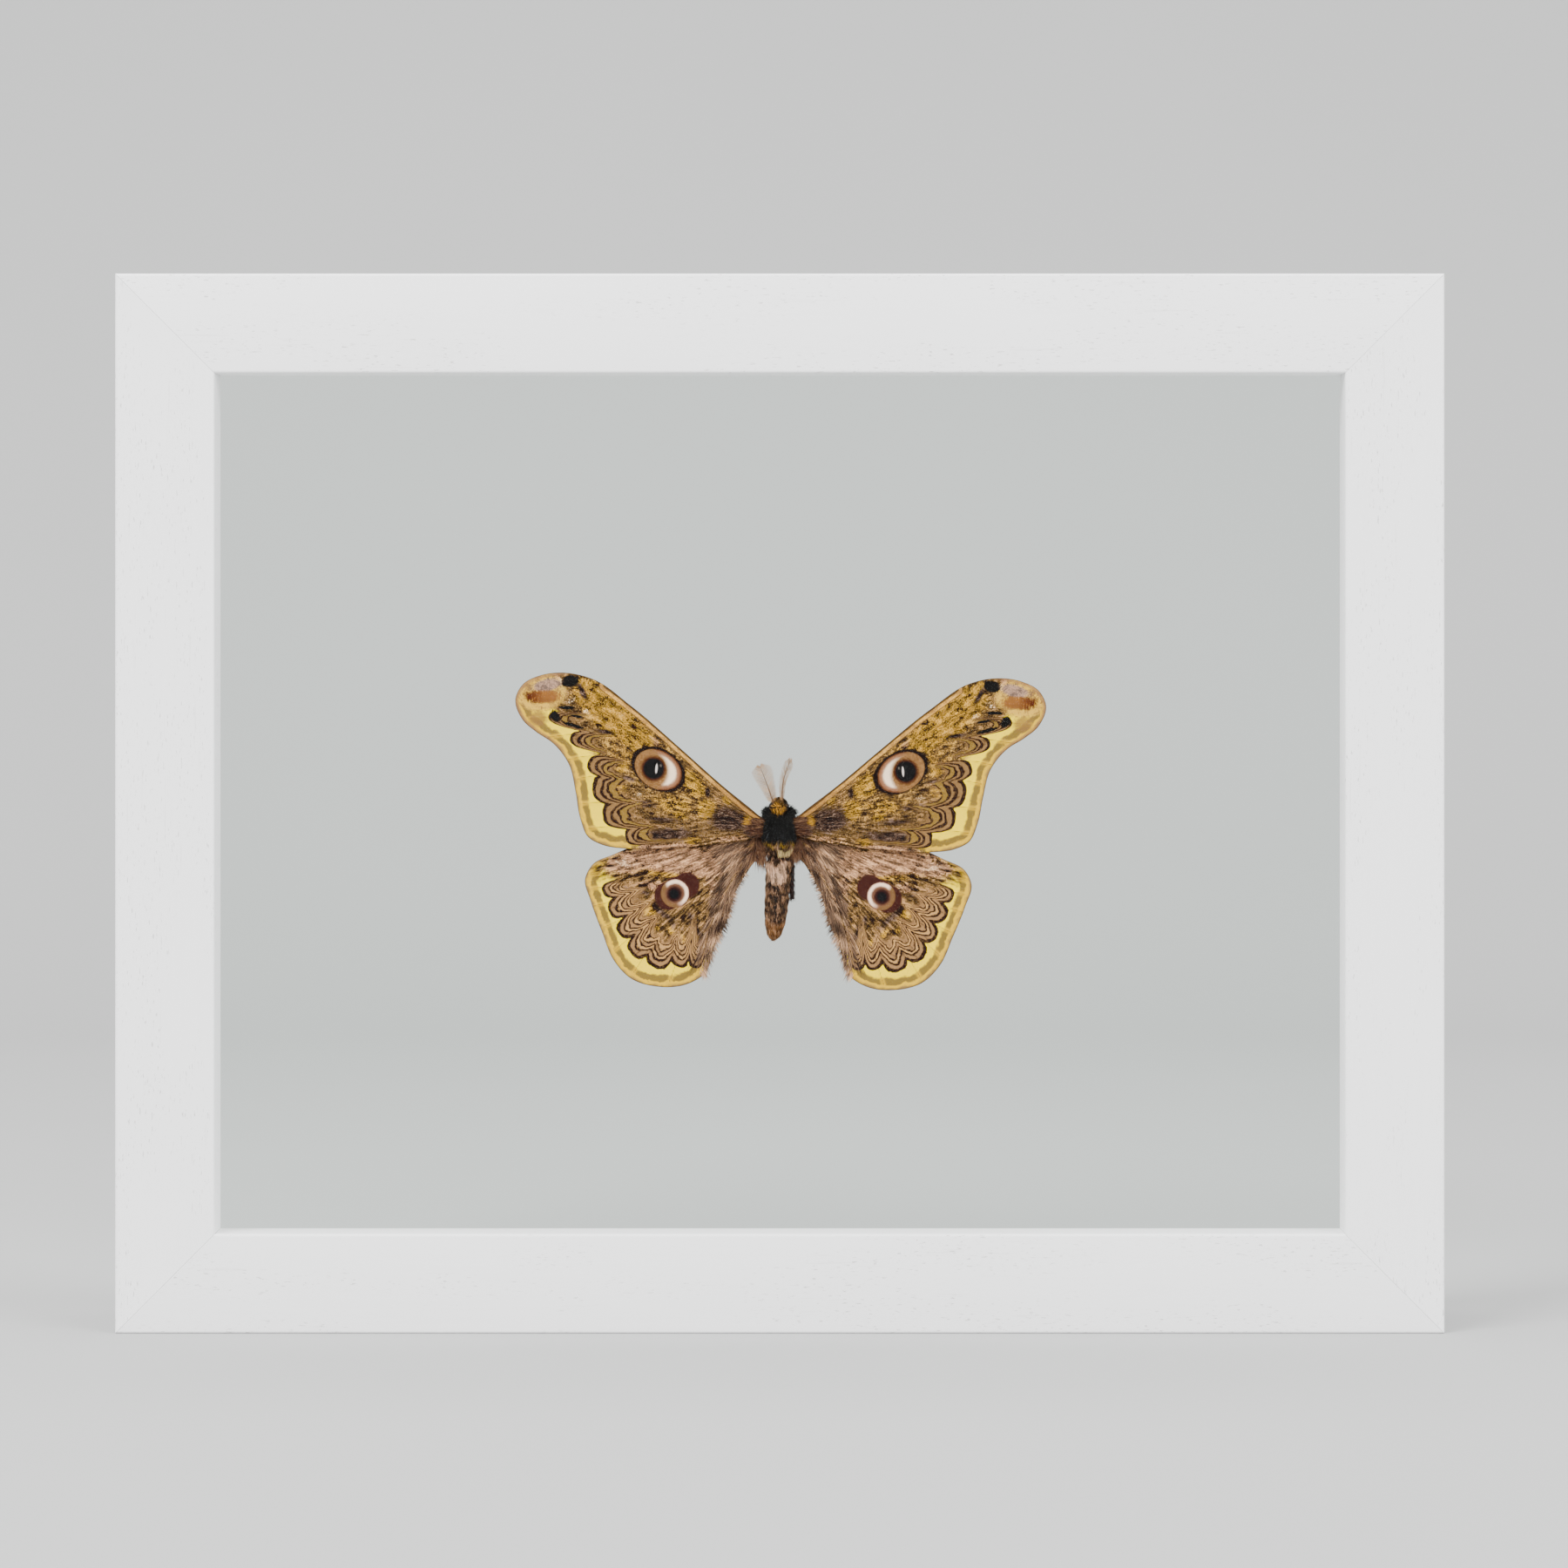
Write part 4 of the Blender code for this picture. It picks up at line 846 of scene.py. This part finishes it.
def build_wing(kind, side, material):
    """One wing: a thin bowed sheet with raised veins, and at each corner what its markings need."""
    wing = WINGS[kind]
    outline = smooth_line(wing["outline"], 0.6, closed=True)
    piece = wing_sheet(f"wing_{kind}_{side}", outline)
    mesh = piece.data
    flat = corners(mesh)
    spots = flat[:, [0, 2]]
    front = flat[:, 1] > -0.5
    edge, _ = nearest_on(spots, np.vstack([outline, outline[:1]]))
    band, _ = nearest_on(spots, smooth_line(wing["margin"], 0.6))
    vein = np.min([nearest_on(spots, smooth_line(line, 1.0))[0] for line in wing["veins"]], axis=0)
    loop, run = loop_depth(spots, wing["loops"], wing["growth"], wing["roundness"])
    costa, _ = nearest_on(spots, smooth_line(FOREWING_COSTA, 0.8))
    note(mesh, plan=np.column_stack([spots, np.zeros(len(spots))]), edge=edge, band=band, vein=vein,
         costa=costa, loop=loop, loop_run=run, back=~front,
         **{patch: patch_strength(spots, places) for patch, places in wing["patches"].items()})

    thick = RIM_HALF + (SHEET_HALF - RIM_HALF) * np.clip(edge / 0.8, 0, 1) ** 0.5
    thick += VEIN_RAISE * np.exp(-(vein / VEIN_SPREAD) ** 2) * np.clip(edge / 0.5, 0, 1)
    pleat = PLEAT * np.clip(vein / 1.2, 0, 1) * np.clip(edge / 1.0, 0, 1)
    lift = pleat + np.where(front, -thick, thick)
    set_corners(mesh, wing_place(wing, side, *spots.T, lift))
    if side == "left":
        mesh.flip_normals()
    mesh.shade_smooth()
    shares = (spots - outline.min(0)) / np.ptp(outline, axis=0).max()
    halves = shares[:, 0] * 0.48 + np.where(front, 0.01, 0.51)
    lay_out(mesh, np.column_stack([halves, shares[:, 1] * 0.96 + 0.02]))
    finish(piece, material, f"{kind}_scales", f"{kind}_{side}", at=MOTH_AT)


# The body, its fur and its limbs

def rounded(bm, centre, radii):
    """Add a ball stretched to three radii."""
    place = Matrix.Translation(centre) @ Matrix.Diagonal((*radii, 1))
    bmesh.ops.create_uvsphere(bm, u_segments=36, v_segments=24, radius=1.0, matrix=place)


def body_skin():
    """Head, thorax and ringed abdomen as one closed skin."""
    bm = bmesh.new()
    bmesh.ops.create_uvsphere(bm, u_segments=40, v_segments=90, radius=1.0)
    for vert in bm.verts:
        along = (1.0 - vert.co.z) / 2
        girth = math.hypot(vert.co.x, vert.co.y)
        fullness = (1 - 0.15 * along) * math.sqrt(max(0.0, 1 - along**7)) * min(1.0, 6 * along) ** 0.5
        fullness *= 1 + 0.05 * abs(math.sin(math.pi * ABDOMEN_RINGS * along))
        reach = fullness / girth if girth > 1e-6 else 0.0
        vert.co = (vert.co.x * reach * ABDOMEN_HALF_WIDTH + ABDOMEN_LEAN * along**1.5,
                   vert.co.y * reach * ABDOMEN_HALF_DEPTH,
                   ABDOMEN_TOP + (ABDOMEN_TIP - ABDOMEN_TOP) * along)
    for ball in (THORAX, HEAD, *SHOULDERS):
        rounded(bm, *ball)
    piece = mesh_object("body_skin", bm)
    joined = piece.modifiers.new("join", "REMESH")
    joined.mode = "VOXEL"
    joined.voxel_size = SKIN_VOXEL
    eased = piece.modifiers.new("ease", "SMOOTH")
    eased.iterations = SKIN_EASING
    apply_modifiers(piece)
    return piece


def scatter(mesh, count, chance):
    """Places spread evenly over a mesh, and the direction straight out of it at each."""
    mesh.calc_loop_triangles()
    triangles = np.empty(len(mesh.loop_triangles) * 3, int)
    mesh.loop_triangles.foreach_get("vertices", triangles)
    a, b, c = corners(mesh)[triangles.reshape(-1, 3)].transpose(1, 0, 2)
    across = np.cross(b - a, c - a)
    area = np.linalg.norm(across, axis=1)
    picked = chance.choice(len(area), count, p=area / area.sum())
    u, v = chance.random((2, count, 1))
    folded = u + v > 1
    u, v = np.where(folded, 1 - u, u), np.where(folded, 1 - v, v)
    places = a[picked] + (b - a)[picked] * u + (c - a)[picked] * v
    return places, across[picked] / area[picked, None]


def unit(directions):
    """Directions one unit long."""
    return directions / np.maximum(np.linalg.norm(directions, axis=1, keepdims=True), 1e-9)


def tufted(places, chance):
    """A tone from 0 to 1 for each hair, much like its neighbours', so that hair shows in tufts."""
    shared = np.array([noise.noise(Vector(place)) for place in places])
    return np.clip(0.5 + 0.6 * shared + chance.normal(0, 0.17, len(places)), 0, 1)


def grow_hair(name, roots, lies, outs, lengths, widths, lifts, tones, chance, curl=0.12, steps=3):
    """Hair as thin tapering blades, each bending from its root along its lie. Every blade is a copy of
    one strip, so the array's copies are set in their places."""
    bm = bmesh.new()
    bmesh.ops.create_grid(bm, x_segments=1, y_segments=steps, size=0.5)
    strip = np.array([vert.co[:2] for vert in bm.verts])
    piece = mesh_object(name, bm)
    copies = piece.modifiers.new("copies", "ARRAY")
    copies.count = len(roots)
    copies.use_relative_offset = False
    copies.use_constant_offset = True
    copies.constant_offset_displace = (0, 0, 1)
    apply_modifiers(piece)

    lies = unit(lies - outs * np.sum(lies * outs, axis=1, keepdims=True))
    sides = unit(np.cross(lies, outs))
    turn = chance.uniform(-0.9, 0.9, (len(roots), 1))
    flats = sides * np.cos(turn) + outs * np.sin(turn)
    bends = sides * chance.normal(0, curl, (len(roots), 1))
    along = (strip[:, 1] + 0.5)[None, :, None]
    across = strip[:, 0][None, :, None]
    lengths, widths, lifts = (
        np.broadcast_to(value, len(roots))[:, None, None] for value in (lengths, widths, lifts))
    places = roots[:, None] + lies[:, None] * along * lengths
    places = places + outs[:, None] * lifts * np.sin(along * 2.2) + bends[:, None] * along**2 * lengths
    places = places + flats[:, None] * across * widths * (1 - 0.92 * along**1.5)
    set_corners(piece.data, places.reshape(-1, 3))
    note(piece.data, root=np.repeat(roots, len(strip), axis=0), tone=np.repeat(tones, len(strip)),
         tip=np.tile(strip[:, 1] + 0.5, len(roots)))
    around = np.arctan2(roots[:, 0], -roots[:, 1]) / (2 * math.pi) + 0.5
    height = (roots[:, 2] - roots[:, 2].min()) / max(np.ptp(roots[:, 2]), 1.0)
    patch = np.stack([around, height], axis=1)[:, None] * 0.99 + (strip[None] + 0.5) * 0.003
    lay_out(piece.data, patch.reshape(-1, 2))
    return piece


def body_colour(root):
    """Gold and cream tufts behind the thorax, a pinkish white patch, dark and tan chevrons, and an amber
    tip."""
    across, _, up = root.parts()
    patchy = root.noise(1.3, 3.0, 0.6)
    down = up * -1.0 + FUR_TOP
    aside = abs(across + 0.5)
    fold = abs(abs(across) - 1.0)
    upper = (down + fold * 0.7).shake(patchy, 0.8)
    lower = (down + aside * 0.6).shake(patchy, 1.0)
    cream = across.step(-0.5, 0.1).blend((74, 54, 40), (204, 194, 160))
    tufts = upper.stripes([
        (0.0, (88, 60, 36)), (8.7, (176, 150, 60)), (9.5, (64, 46, 34))], 0.15, BODY_REACH)
    tufts = tufts.covered(upper.step(10.2, 10.5) * upper.step(11.6, 11.3), cream)
    rings = lower.stripes([
        (0.0, (74, 52, 36)), (13.4, (213, 198, 184)),
        *((start, CHEVRON_TINTS[i % 2]) for i, start in enumerate(CHEVRONS)),
        (24.7, (158, 114, 66))], 0.16, BODY_REACH)
    strands = root.stretch((2.4, 2.4, 0.5)).noise(1.0)
    rings = rings.covered(strands.step(0.48, 0.60) * 0.65, (96, 70, 50))
    flank = aside.shake(patchy, 0.8).step(1.55, 2.0) * down.step(18.4, 17.0)
    rings = rings.covered(flank, (104, 76, 54))
    middle = down.step(13.6, 16.4) * down.step(25.0, 23.6) * aside.shake(patchy, 0.7).step(0.55, 0.20)
    return tufts.covered(down.step(12.0, 12.6), rings).covered(middle * 0.85, (44, 32, 26))


def body_scales():
    """The skin under the fur."""
    paint = Paint("body_scales", roughness=0.85, Specular_IOR_Level=0.1)
    root = paint.spot("root")
    fine = root.noise(3.5, 3.0)
    colour = body_colour(root).covered(fine.step(0.35, 0.65) * 0.5, BLACK)
    thorax = root.parts()[2].step(-2.4, -1.8)
    return paint.finish(colour.covered(thorax, BLACK), fine, 0.4, 0.1)


def body_fur():
    """The fur, coloured as the skin it grows from, black with painted glints on the thorax, and gold on the
    head.
    """
    paint = Paint("body_fur", roughness=0.55, Specular_IOR_Level=0.10)
    root, tone, tip = paint.spot("root"), paint.number("tone"), paint.number("tip")
    across, _, up = root.parts()
    colour = body_colour(root).covered(tone.step(0.60, 0.85) * 0.55, (204, 182, 158))
    colour = colour.covered(tone.step(0.42, 0.15) * 0.75, (48, 32, 24))
    # Painted shade: each hair darkened towards its root, where the coat shades itself
    colour = colour.covered(tip.step(0.5, 0.0) * 0.45, BLACK)
    gold = paint.joined(across, up).away((-0.2, 4.1), tone, 0.7, (1.55, 1.45)).step(1.05, 0.75)
    amber = up.step(4.6, 4.1).blend((122, 86, 46), (206, 178, 80))
    colour = colour.covered(gold, tone.step(0.25, 0.65).blend((104, 72, 34), amber))
    # Painted highlight: bluish-grey glints on some tufts of the black thorax fur, standing in for the lamps'
    # sheen on it
    glint = tone.step(0.80, 0.98) * up.step(0.8, -0.4)
    black_fur_with_painted_glints = glint.blend((40, 34, 32), (108, 110, 116))
    return paint.finish(colour.covered(up.step(-2.2, -1.7) - gold, black_fur_with_painted_glints), tone, 0.1, 0.05)


def wing_hair_tint():
    """The hair at the wings' roots and along the hindwings: pinkish browns, and gold by the costa."""
    paint = Paint("wing_hair", roughness=0.6, Specular_IOR_Level=0.08)
    tone, tip = paint.number("tone"), paint.number("tip")
    across, _, up = paint.spot("root").parts()
    colour = tone.stripes([
        (0.0, (62, 44, 34)), (0.24, (104, 80, 64)), (0.42, (140, 112, 92)),
        (0.60, (174, 146, 122)), (0.80, (208, 190, 168))], 0.06)
    gold = up.step(0.2, 0.6) * abs(across).step(4.6, 5.2)
    colour = colour.covered(gold, tone.blend((156, 122, 40), (205, 178, 68)))
    close = abs(across).step(6.8, 4.2) * up.step(-8.0, -5.0) * 0.8
    close = close.math("SUBTRACT", gold, clamp=True)
    colour = colour.covered(close, tone.step(0.2, 0.9).blend((66, 38, 24), (136, 92, 62)))
    # Painted shade: each hair darkened towards its root, where the coat shades itself
    return paint.finish(colour.covered(tip.step(0.5, 0.0) * 0.35, GROUND_DARK), tip, 0.1, 0.05)


def build_body():
    """The skin, and the fur that hides it: long on the thorax, swept up on the shoulders, parted on the
    head, and lying down the abdomen."""
    chance = np.random.default_rng(11)
    skin = body_skin()
    places, outs = scatter(skin.data, FUR_HAIRS, chance)
    note(skin.data, root=corners(skin.data))
    skin.data.shade_smooth()
    aside, up = places[:, 0], places[:, 2]
    thorax = (up < 3.4) & (up > -5.0) & (np.abs(aside) < 3.6)
    head = (up >= 3.4) & (np.abs(aside) < 1.7)
    shoulder = np.clip((up - 0.8) / 2.0, 0, 1) * np.clip((np.abs(aside) - 0.8) / 1.2, 0, 1) * thorax
    brow = np.clip(np.abs(aside) - 0.7, 0, 1) * np.sign(aside)
    lies = np.stack([np.where(head, 1.6 * brow, aside * (0.04 + 0.36 * shoulder)),
                     np.where(head, -0.3, 0.0),
                     np.where(head, np.interp(up, (3.6, 4.8), (-0.7, 1.0)), -1.0 + 2.3 * shoulder)], axis=1)
    lies += chance.normal(0, 1, lies.shape) * np.where(head, 0.35, 0.18)[:, None]
    lengths = np.where(head, 0.85, np.where(thorax, np.interp(up, (-2.6, -1.4), (1.1, 2.1)), 1.0))
    lengths *= chance.uniform(0.6, 1.2, len(up))
    lifts = np.where(thorax, 0.55, np.where(head, 0.30, 0.14)) * chance.uniform(0.5, 1.3, len(up))
    widths = np.where(thorax, 0.16, 0.12)
    tones = tufted(places * (1.8, 1.8, 0.8), chance)
    fur = grow_hair("body_fur", places, lies, outs, lengths, widths, lifts, tones, chance)
    finish(skin, body_scales(), "black_fur", "thorax", "head", "abdomen", at=MOTH_AT)
    finish(fur, body_fur(), "black_fur", at=MOTH_AT)


def hair_on_wing(name, kind, side, spots, lies, lengths, chance, width, lift):
    """Hair rooted on a wing's upper face, at spots of its flat plan, with its lie in that plan."""
    roots, tips = (wing_place(WINGS[kind], side, *at.T, -SHEET_HALF * 0.5) for at in (spots, spots + lies))
    outs = np.tile((0.0, -1.0, 0.0), (len(spots), 1))
    fan = np.stack([np.arctan2(spots[:, 1] - 1, spots[:, 0]) * 18, np.hypot(*spots.T) * 0.35,
                    np.full(len(spots), lift)], axis=1)
    return grow_hair(f"wing_hair_{name}_{side}", roots, tips - roots, outs, lengths, width, lift,
                     tufted(fan, chance), chance, curl=0.08)


def build_wing_hair(material):
    """The coat over each hindwing's root and inner part, the spikes along its inner margin, the hair that
    hangs by the abdomen, and the tuft at each forewing's root."""
    outline = smooth_line(HINDWING_OUTLINE, 0.6, closed=True)
    margin = smooth_line(HINDWING_INNER_MARGIN, 0.2)
    for number, side in enumerate(("left", "right")):
        chance = np.random.default_rng(30 + number)
        spots = chance.uniform(outline.min(0), outline.max(0), (COAT_SPOTS, 2))
        spots = spots[inside(spots, outline)]
        near, _ = nearest_on(spots, margin)
        root = np.hypot(spots[:, 0] - 4.4, spots[:, 1] + 2.0)
        share = np.maximum((5.8 + 0.11 * spots[:, 1] - near) / 2.2, (9.0 - root) / 3.5)
        share = np.minimum(share, (spots[:, 1] + 26.5) / 3.0)
        kept = chance.random(len(spots)) < np.clip(share, 0, 1)
        spots, near = spots[kept], near[kept]
        lies = unit(spots - (2.6, 2.4)) + chance.normal(0, 0.07, spots.shape)
        lies[:, 0] -= 0.35 * np.clip(1 - near / 2.5, 0, 1)
        lengths = chance.uniform(1.8, 3.6, len(spots))
        within = inside(spots + lies * lengths[:, None], outline)
        coat = hair_on_wing("coat", "hindwing", side, spots[within], lies[within], lengths[within], chance,
                            width=0.10, lift=0.12)

        along = chance.random(SPIKES)
        inward = np.abs(chance.normal(0, 0.6, (SPIKES, 1)))
        spots = margin[(along * (len(margin) - 1)).astype(int)] + inward * (1.0, 0.2)
        lies = np.stack([-0.95 + 0.55 * along, -0.45 - 0.55 * along], axis=1)
        lies += chance.normal(0, 0.18, (SPIKES, 2))
        lengths = chance.uniform(0.7, 1.4, SPIKES) * (0.8 + 0.8 * along)
        spikes = hair_on_wing("spikes", "hindwing", side, spots, lies, lengths, chance, width=0.12, lift=0.10)

        spots = chance.uniform((2.9, -5.2), (4.6, -1.6), (DRAPE_HAIRS, 2))
        lies = (-0.12, -1.0) + chance.normal(0, 0.12, (DRAPE_HAIRS, 2))
        lengths = chance.uniform(2.0, 4.4, DRAPE_HAIRS) * (1.0 if side == "left" else 0.7)
        drape = hair_on_wing("drape", "hindwing", side, spots, lies, lengths, chance, width=0.14, lift=0.35)

        spots = chance.uniform((2.6, -1.6), (5.9, 1.7), (ROOT_HAIRS, 2))
        lies = (1.0, 0.1) + chance.normal(0, 0.22, (ROOT_HAIRS, 2))
        lengths = chance.uniform(0.9, 1.9, ROOT_HAIRS)
        tuft = hair_on_wing("root", "forewing", side, spots, lies, lengths, chance, width=0.13, lift=0.25)
        for hair in (coat, spikes, drape):
            finish(hair, material, "hindwing_scales", at=MOTH_AT)
        finish(tuft, material, "forewing_scales", at=MOTH_AT)


def tube(name, line, radii, spacing):
    """A round tapering tube along a smooth line."""
    spots = smooth_line(line, spacing)
    curve = bpy.data.curves.new(name, "CURVE")
    curve.dimensions = "3D"
    curve.bevel_depth = 1.0
    curve.bevel_resolution = 3
    curve.use_fill_caps = True
    spline = curve.splines.new("POLY")
    spline.points.add(len(spots) - 1)
    for i, (point, spot) in enumerate(zip(spline.points, spots)):
        point.co = (*spot, 1.0)
        point.radius = radii[0] + (radii[1] - radii[0]) * i / (len(spots) - 1)
    guide = linked(name, curve)
    mesh = evaluated_mesh(guide)
    bpy.data.objects.remove(guide)
    mesh.shade_smooth()
    return linked(name, mesh)


def build_antenna(side, shaft_material, plume_material):
    """A feathered antenna: a tapering shaft with a comb of rami down both sides, fringed with cilia."""
    chance = np.random.default_rng(50)
    line, turn = ANTENNAE[side]["line"], math.radians(ANTENNAE[side]["turn"])
    shaft = tube(f"antenna_shaft_{side}", line, SHAFT_RADII, 0.4)
    finish(shaft, shaft_material, "antenna", f"antenna_{side}", at=MOTH_AT)
    spots = smooth_line(line, 0.05)
    roots, lies, lengths = [], [], []
    for share in np.linspace(0.10, 0.985, RAMI_PAIRS):
        at = min(round(share * (len(spots) - 1)), len(spots) - 2)
        run = Vector(spots[at + 1] - spots[at]).normalized()
        flat = Matrix.Rotation(turn, 3, run) @ run.cross(Vector((0, 1, 0))).normalized()
        length = RAMUS_LONGEST * min(0.35 + 1.05 * share, 1.0, 0.22 + 3.2 * (1 - share))
        for hand in (-1, 1):
            reach = flat * hand * math.sin(RAMUS_LEAN) + run * math.cos(RAMUS_LEAN)
            roots.append(spots[at])
            lies.append(list(reach.normalized()))
            lengths.append(length)
    roots, lies, lengths = np.array(roots), np.array(lies), np.array(lengths)
    outs = unit(np.cross(lies, np.array(spots[-1] - spots[0])[None]))
    outs *= np.where(outs[:, 1:2] > 0, -1, 1)
    rami = grow_hair(f"antenna_rami_{side}", roots, lies, outs, lengths, 0.15, 0.0,
                     chance.random(len(roots)), chance, curl=0.02, steps=4)
    finish(rami, plume_material, "antenna", at=MOTH_AT)

    share = np.tile(np.linspace(0.15, 0.95, CILIA), len(roots) * 2)
    number = np.repeat(np.arange(len(roots) * 2), CILIA)
    which = number % len(roots)
    hand = np.where(number < len(roots), 1, -1)[:, None]
    cilia_roots = roots[which] + lies[which] * (lengths[which] * share)[:, None]
    cilia_lies = unit(np.cross(lies[which], outs[which])) * hand + lies[which] * 0.8
    cilia = grow_hair(f"antenna_cilia_{side}", cilia_roots, cilia_lies, outs[which], 0.42, 0.045, 0.0,
                      chance.random(len(which)), chance, curl=0.1, steps=2)
    finish(cilia, plume_material, "antenna", at=MOTH_AT)


def two_toned(name, low, high, grain, bump, distance, rise=None, **sockets):
    """A finish between two colours, by a noise, or by each hair's own tone where no noise is given."""
    paint = Paint(name, **sockets)
    value = paint.place().noise(*grain) if grain else paint.number("tone")
    mask = value.step(*rise) if rise else value
    return paint.finish(mask.blend(low, high), value, bump, distance)


def small_finishes():
    """Finishes of the small parts: antennae, eyes, legs and the clear dab."""
    return {
        "shaft": two_toned("antenna_shaft", (116, 80, 46), (156, 116, 74), (2.0,), 0.2, 0.05),
        "plume": two_toned("antenna_plume", (158, 124, 76), (196, 170, 116), None, 0.1, 0.05,
                           Sheen_Weight=0.1, Sheen_Roughness=0.5),
        "eye": two_toned("eye", (26, 16, 12), (62, 40, 28), (9.0,), 0.2, 0.03,
                         roughness=0.35, Specular_IOR_Level=0.3),
        "leg": two_toned("leg", (50, 24, 24), (92, 52, 46), (2.5, 3.0), 0.4, 0.1, (0.35, 0.65),
                         roughness=0.6, Sheen_Weight=0.2, Sheen_Roughness=0.5),
        "leg_hair": two_toned("leg_hair", (40, 22, 24), (98, 60, 54), None, 0.1, 0.05,
                              roughness=0.6, Specular_IOR_Level=0.15),
        "adhesive": two_toned("adhesive", (0.85, 0.85, 0.80, 1), (0.92, 0.92, 0.88, 1), (0.6,), 0.2, 0.1,
                              roughness=0.15, Transmission_Weight=0.7, IOR=1.45),
    }


def build_leg_hair(name, leg, material):
    """Short dark hair that lies down a leg."""
    chance = np.random.default_rng(70)
    bare = leg.data.copy()
    moved = Matrix.Translation([-part for part in MOTH_AT]) @ Matrix.Scale(1 / MM, 4) @ leg.matrix_world
    bare.transform(moved)
    places, outs = scatter(bare, LEG_HAIRS, chance)
    bpy.data.meshes.remove(bare)
    lies = (0.0, 0.0, -1.0) + chance.normal(0, 0.15, places.shape)
    lengths = chance.uniform(0.5, 1.0, len(places))
    hair = grow_hair(name, places, lies, outs, lengths, 0.10, 0.22, chance.random(len(places)), chance,
                     curl=0.06)
    finish(hair, material, "leg", at=MOTH_AT)


def build_small_parts():
    """Eyes, antennae, legs with their hair, and the dab. The one leg that shows is drawn fuller."""
    made = small_finishes()
    for side, out in (("left", -1), ("right", 1)):
        bm = bmesh.new()
        rounded(bm, (out * EYE_AT[0], EYE_AT[1], EYE_AT[2]), [EYE_RADIUS] * 3)
        eye = mesh_object(f"eye_ball_{side}", bm)
        eye.data.shade_smooth()
        finish(eye, made["eye"], "eye", f"eye_{side}", at=MOTH_AT)
        build_antenna(side, made["shaft"], made["plume"])
        for pair in ("fore", "mid", "hind"):
            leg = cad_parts[f"leg_{pair}_{side}"]
            if (pair, side) == ("hind", "right"):
                leg = tube("leg_showing", LEG_SHOWING, LEG_RADII, 0.4)
                finish(leg, made["leg"], "leg", f"leg_{pair}_{side}", at=MOTH_AT)
            else:
                leg.material_slots[0].material = made["leg"]
            build_leg_hair(f"leg_hair_{pair}_{side}", leg, made["leg_hair"])
    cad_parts["adhesive_dab"].material_slots[0].material = made["adhesive"]


# The picture

def build_stage():
    """A pale floor that sweeps up behind the case, soft lamps, and the camera."""
    bm = bmesh.new()
    line = [bm.edges.new([bm.verts.new((x, -1.6, 0)) for x in (-2.5, 2.5)])]
    line = move_out(bm, bmesh.ops.extrude_edge_only(bm, edges=line)["geom"], (0, 2.3, 0))
    bend = bmesh.ops.spin(bm, geom=line, cent=(0, 0.7, 0.5), axis=(1, 0, 0), angle=math.radians(90),
                          steps=16)
    line = only(bmesh.types.BMEdge, bend["geom_last"])
    move_out(bm, bmesh.ops.extrude_edge_only(bm, edges=line)["geom"], (0, 0, 1.6))
    bmesh.ops.recalc_face_normals(bm, faces=bm.faces)
    sweep = mesh_object("floor_sweep", bm)
    sweep.data.shade_smooth()
    paint = Paint("pale_floor", roughness=0.9)
    cloud = paint.place().noise(0.004)
    sweep.data.materials.append(paint.finish(cloud.blend((0.375, 0.378, 0.375, 1), (0.40, 0.403, 0.40, 1))))

    for name, (place, size, watts) in LAMPS.items():
        lamp = bpy.data.lights.new(name, "AREA")
        lamp.size, lamp.energy = size, watts
        made = linked(name, lamp)
        made.location = place
        made.rotation_euler = (Vector(LAMPS_AIM) - Vector(place)).to_track_quat("-Z", "Y").to_euler()

    world = bpy.data.worlds.new("soft_room")
    world.use_nodes = True
    light = world.node_tree.nodes["Background"].inputs
    light["Color"].default_value = (1, 1, 1, 1)
    light["Strength"].default_value = ROOM_LIGHT
    bpy.context.scene.world = world

    camera = bpy.data.cameras.new("camera")
    camera.sensor_width = SENSOR
    camera.lens = LENS
    camera.shift_x, camera.shift_y = CAMERA_SHIFT
    made = linked("camera", camera)
    made.location = Vector(CAMERA_AT) * MM
    made.rotation_euler = (math.radians(90), 0, 0)
    bpy.context.scene.camera = made


build_stage()
build_case()
for kind, material in (("forewing", forewing_scales()), ("hindwing", hindwing_scales())):
    for side in ("left", "right"):
        build_wing(kind, side, material)
build_body()
build_wing_hair(wing_hair_tint())
build_small_parts()
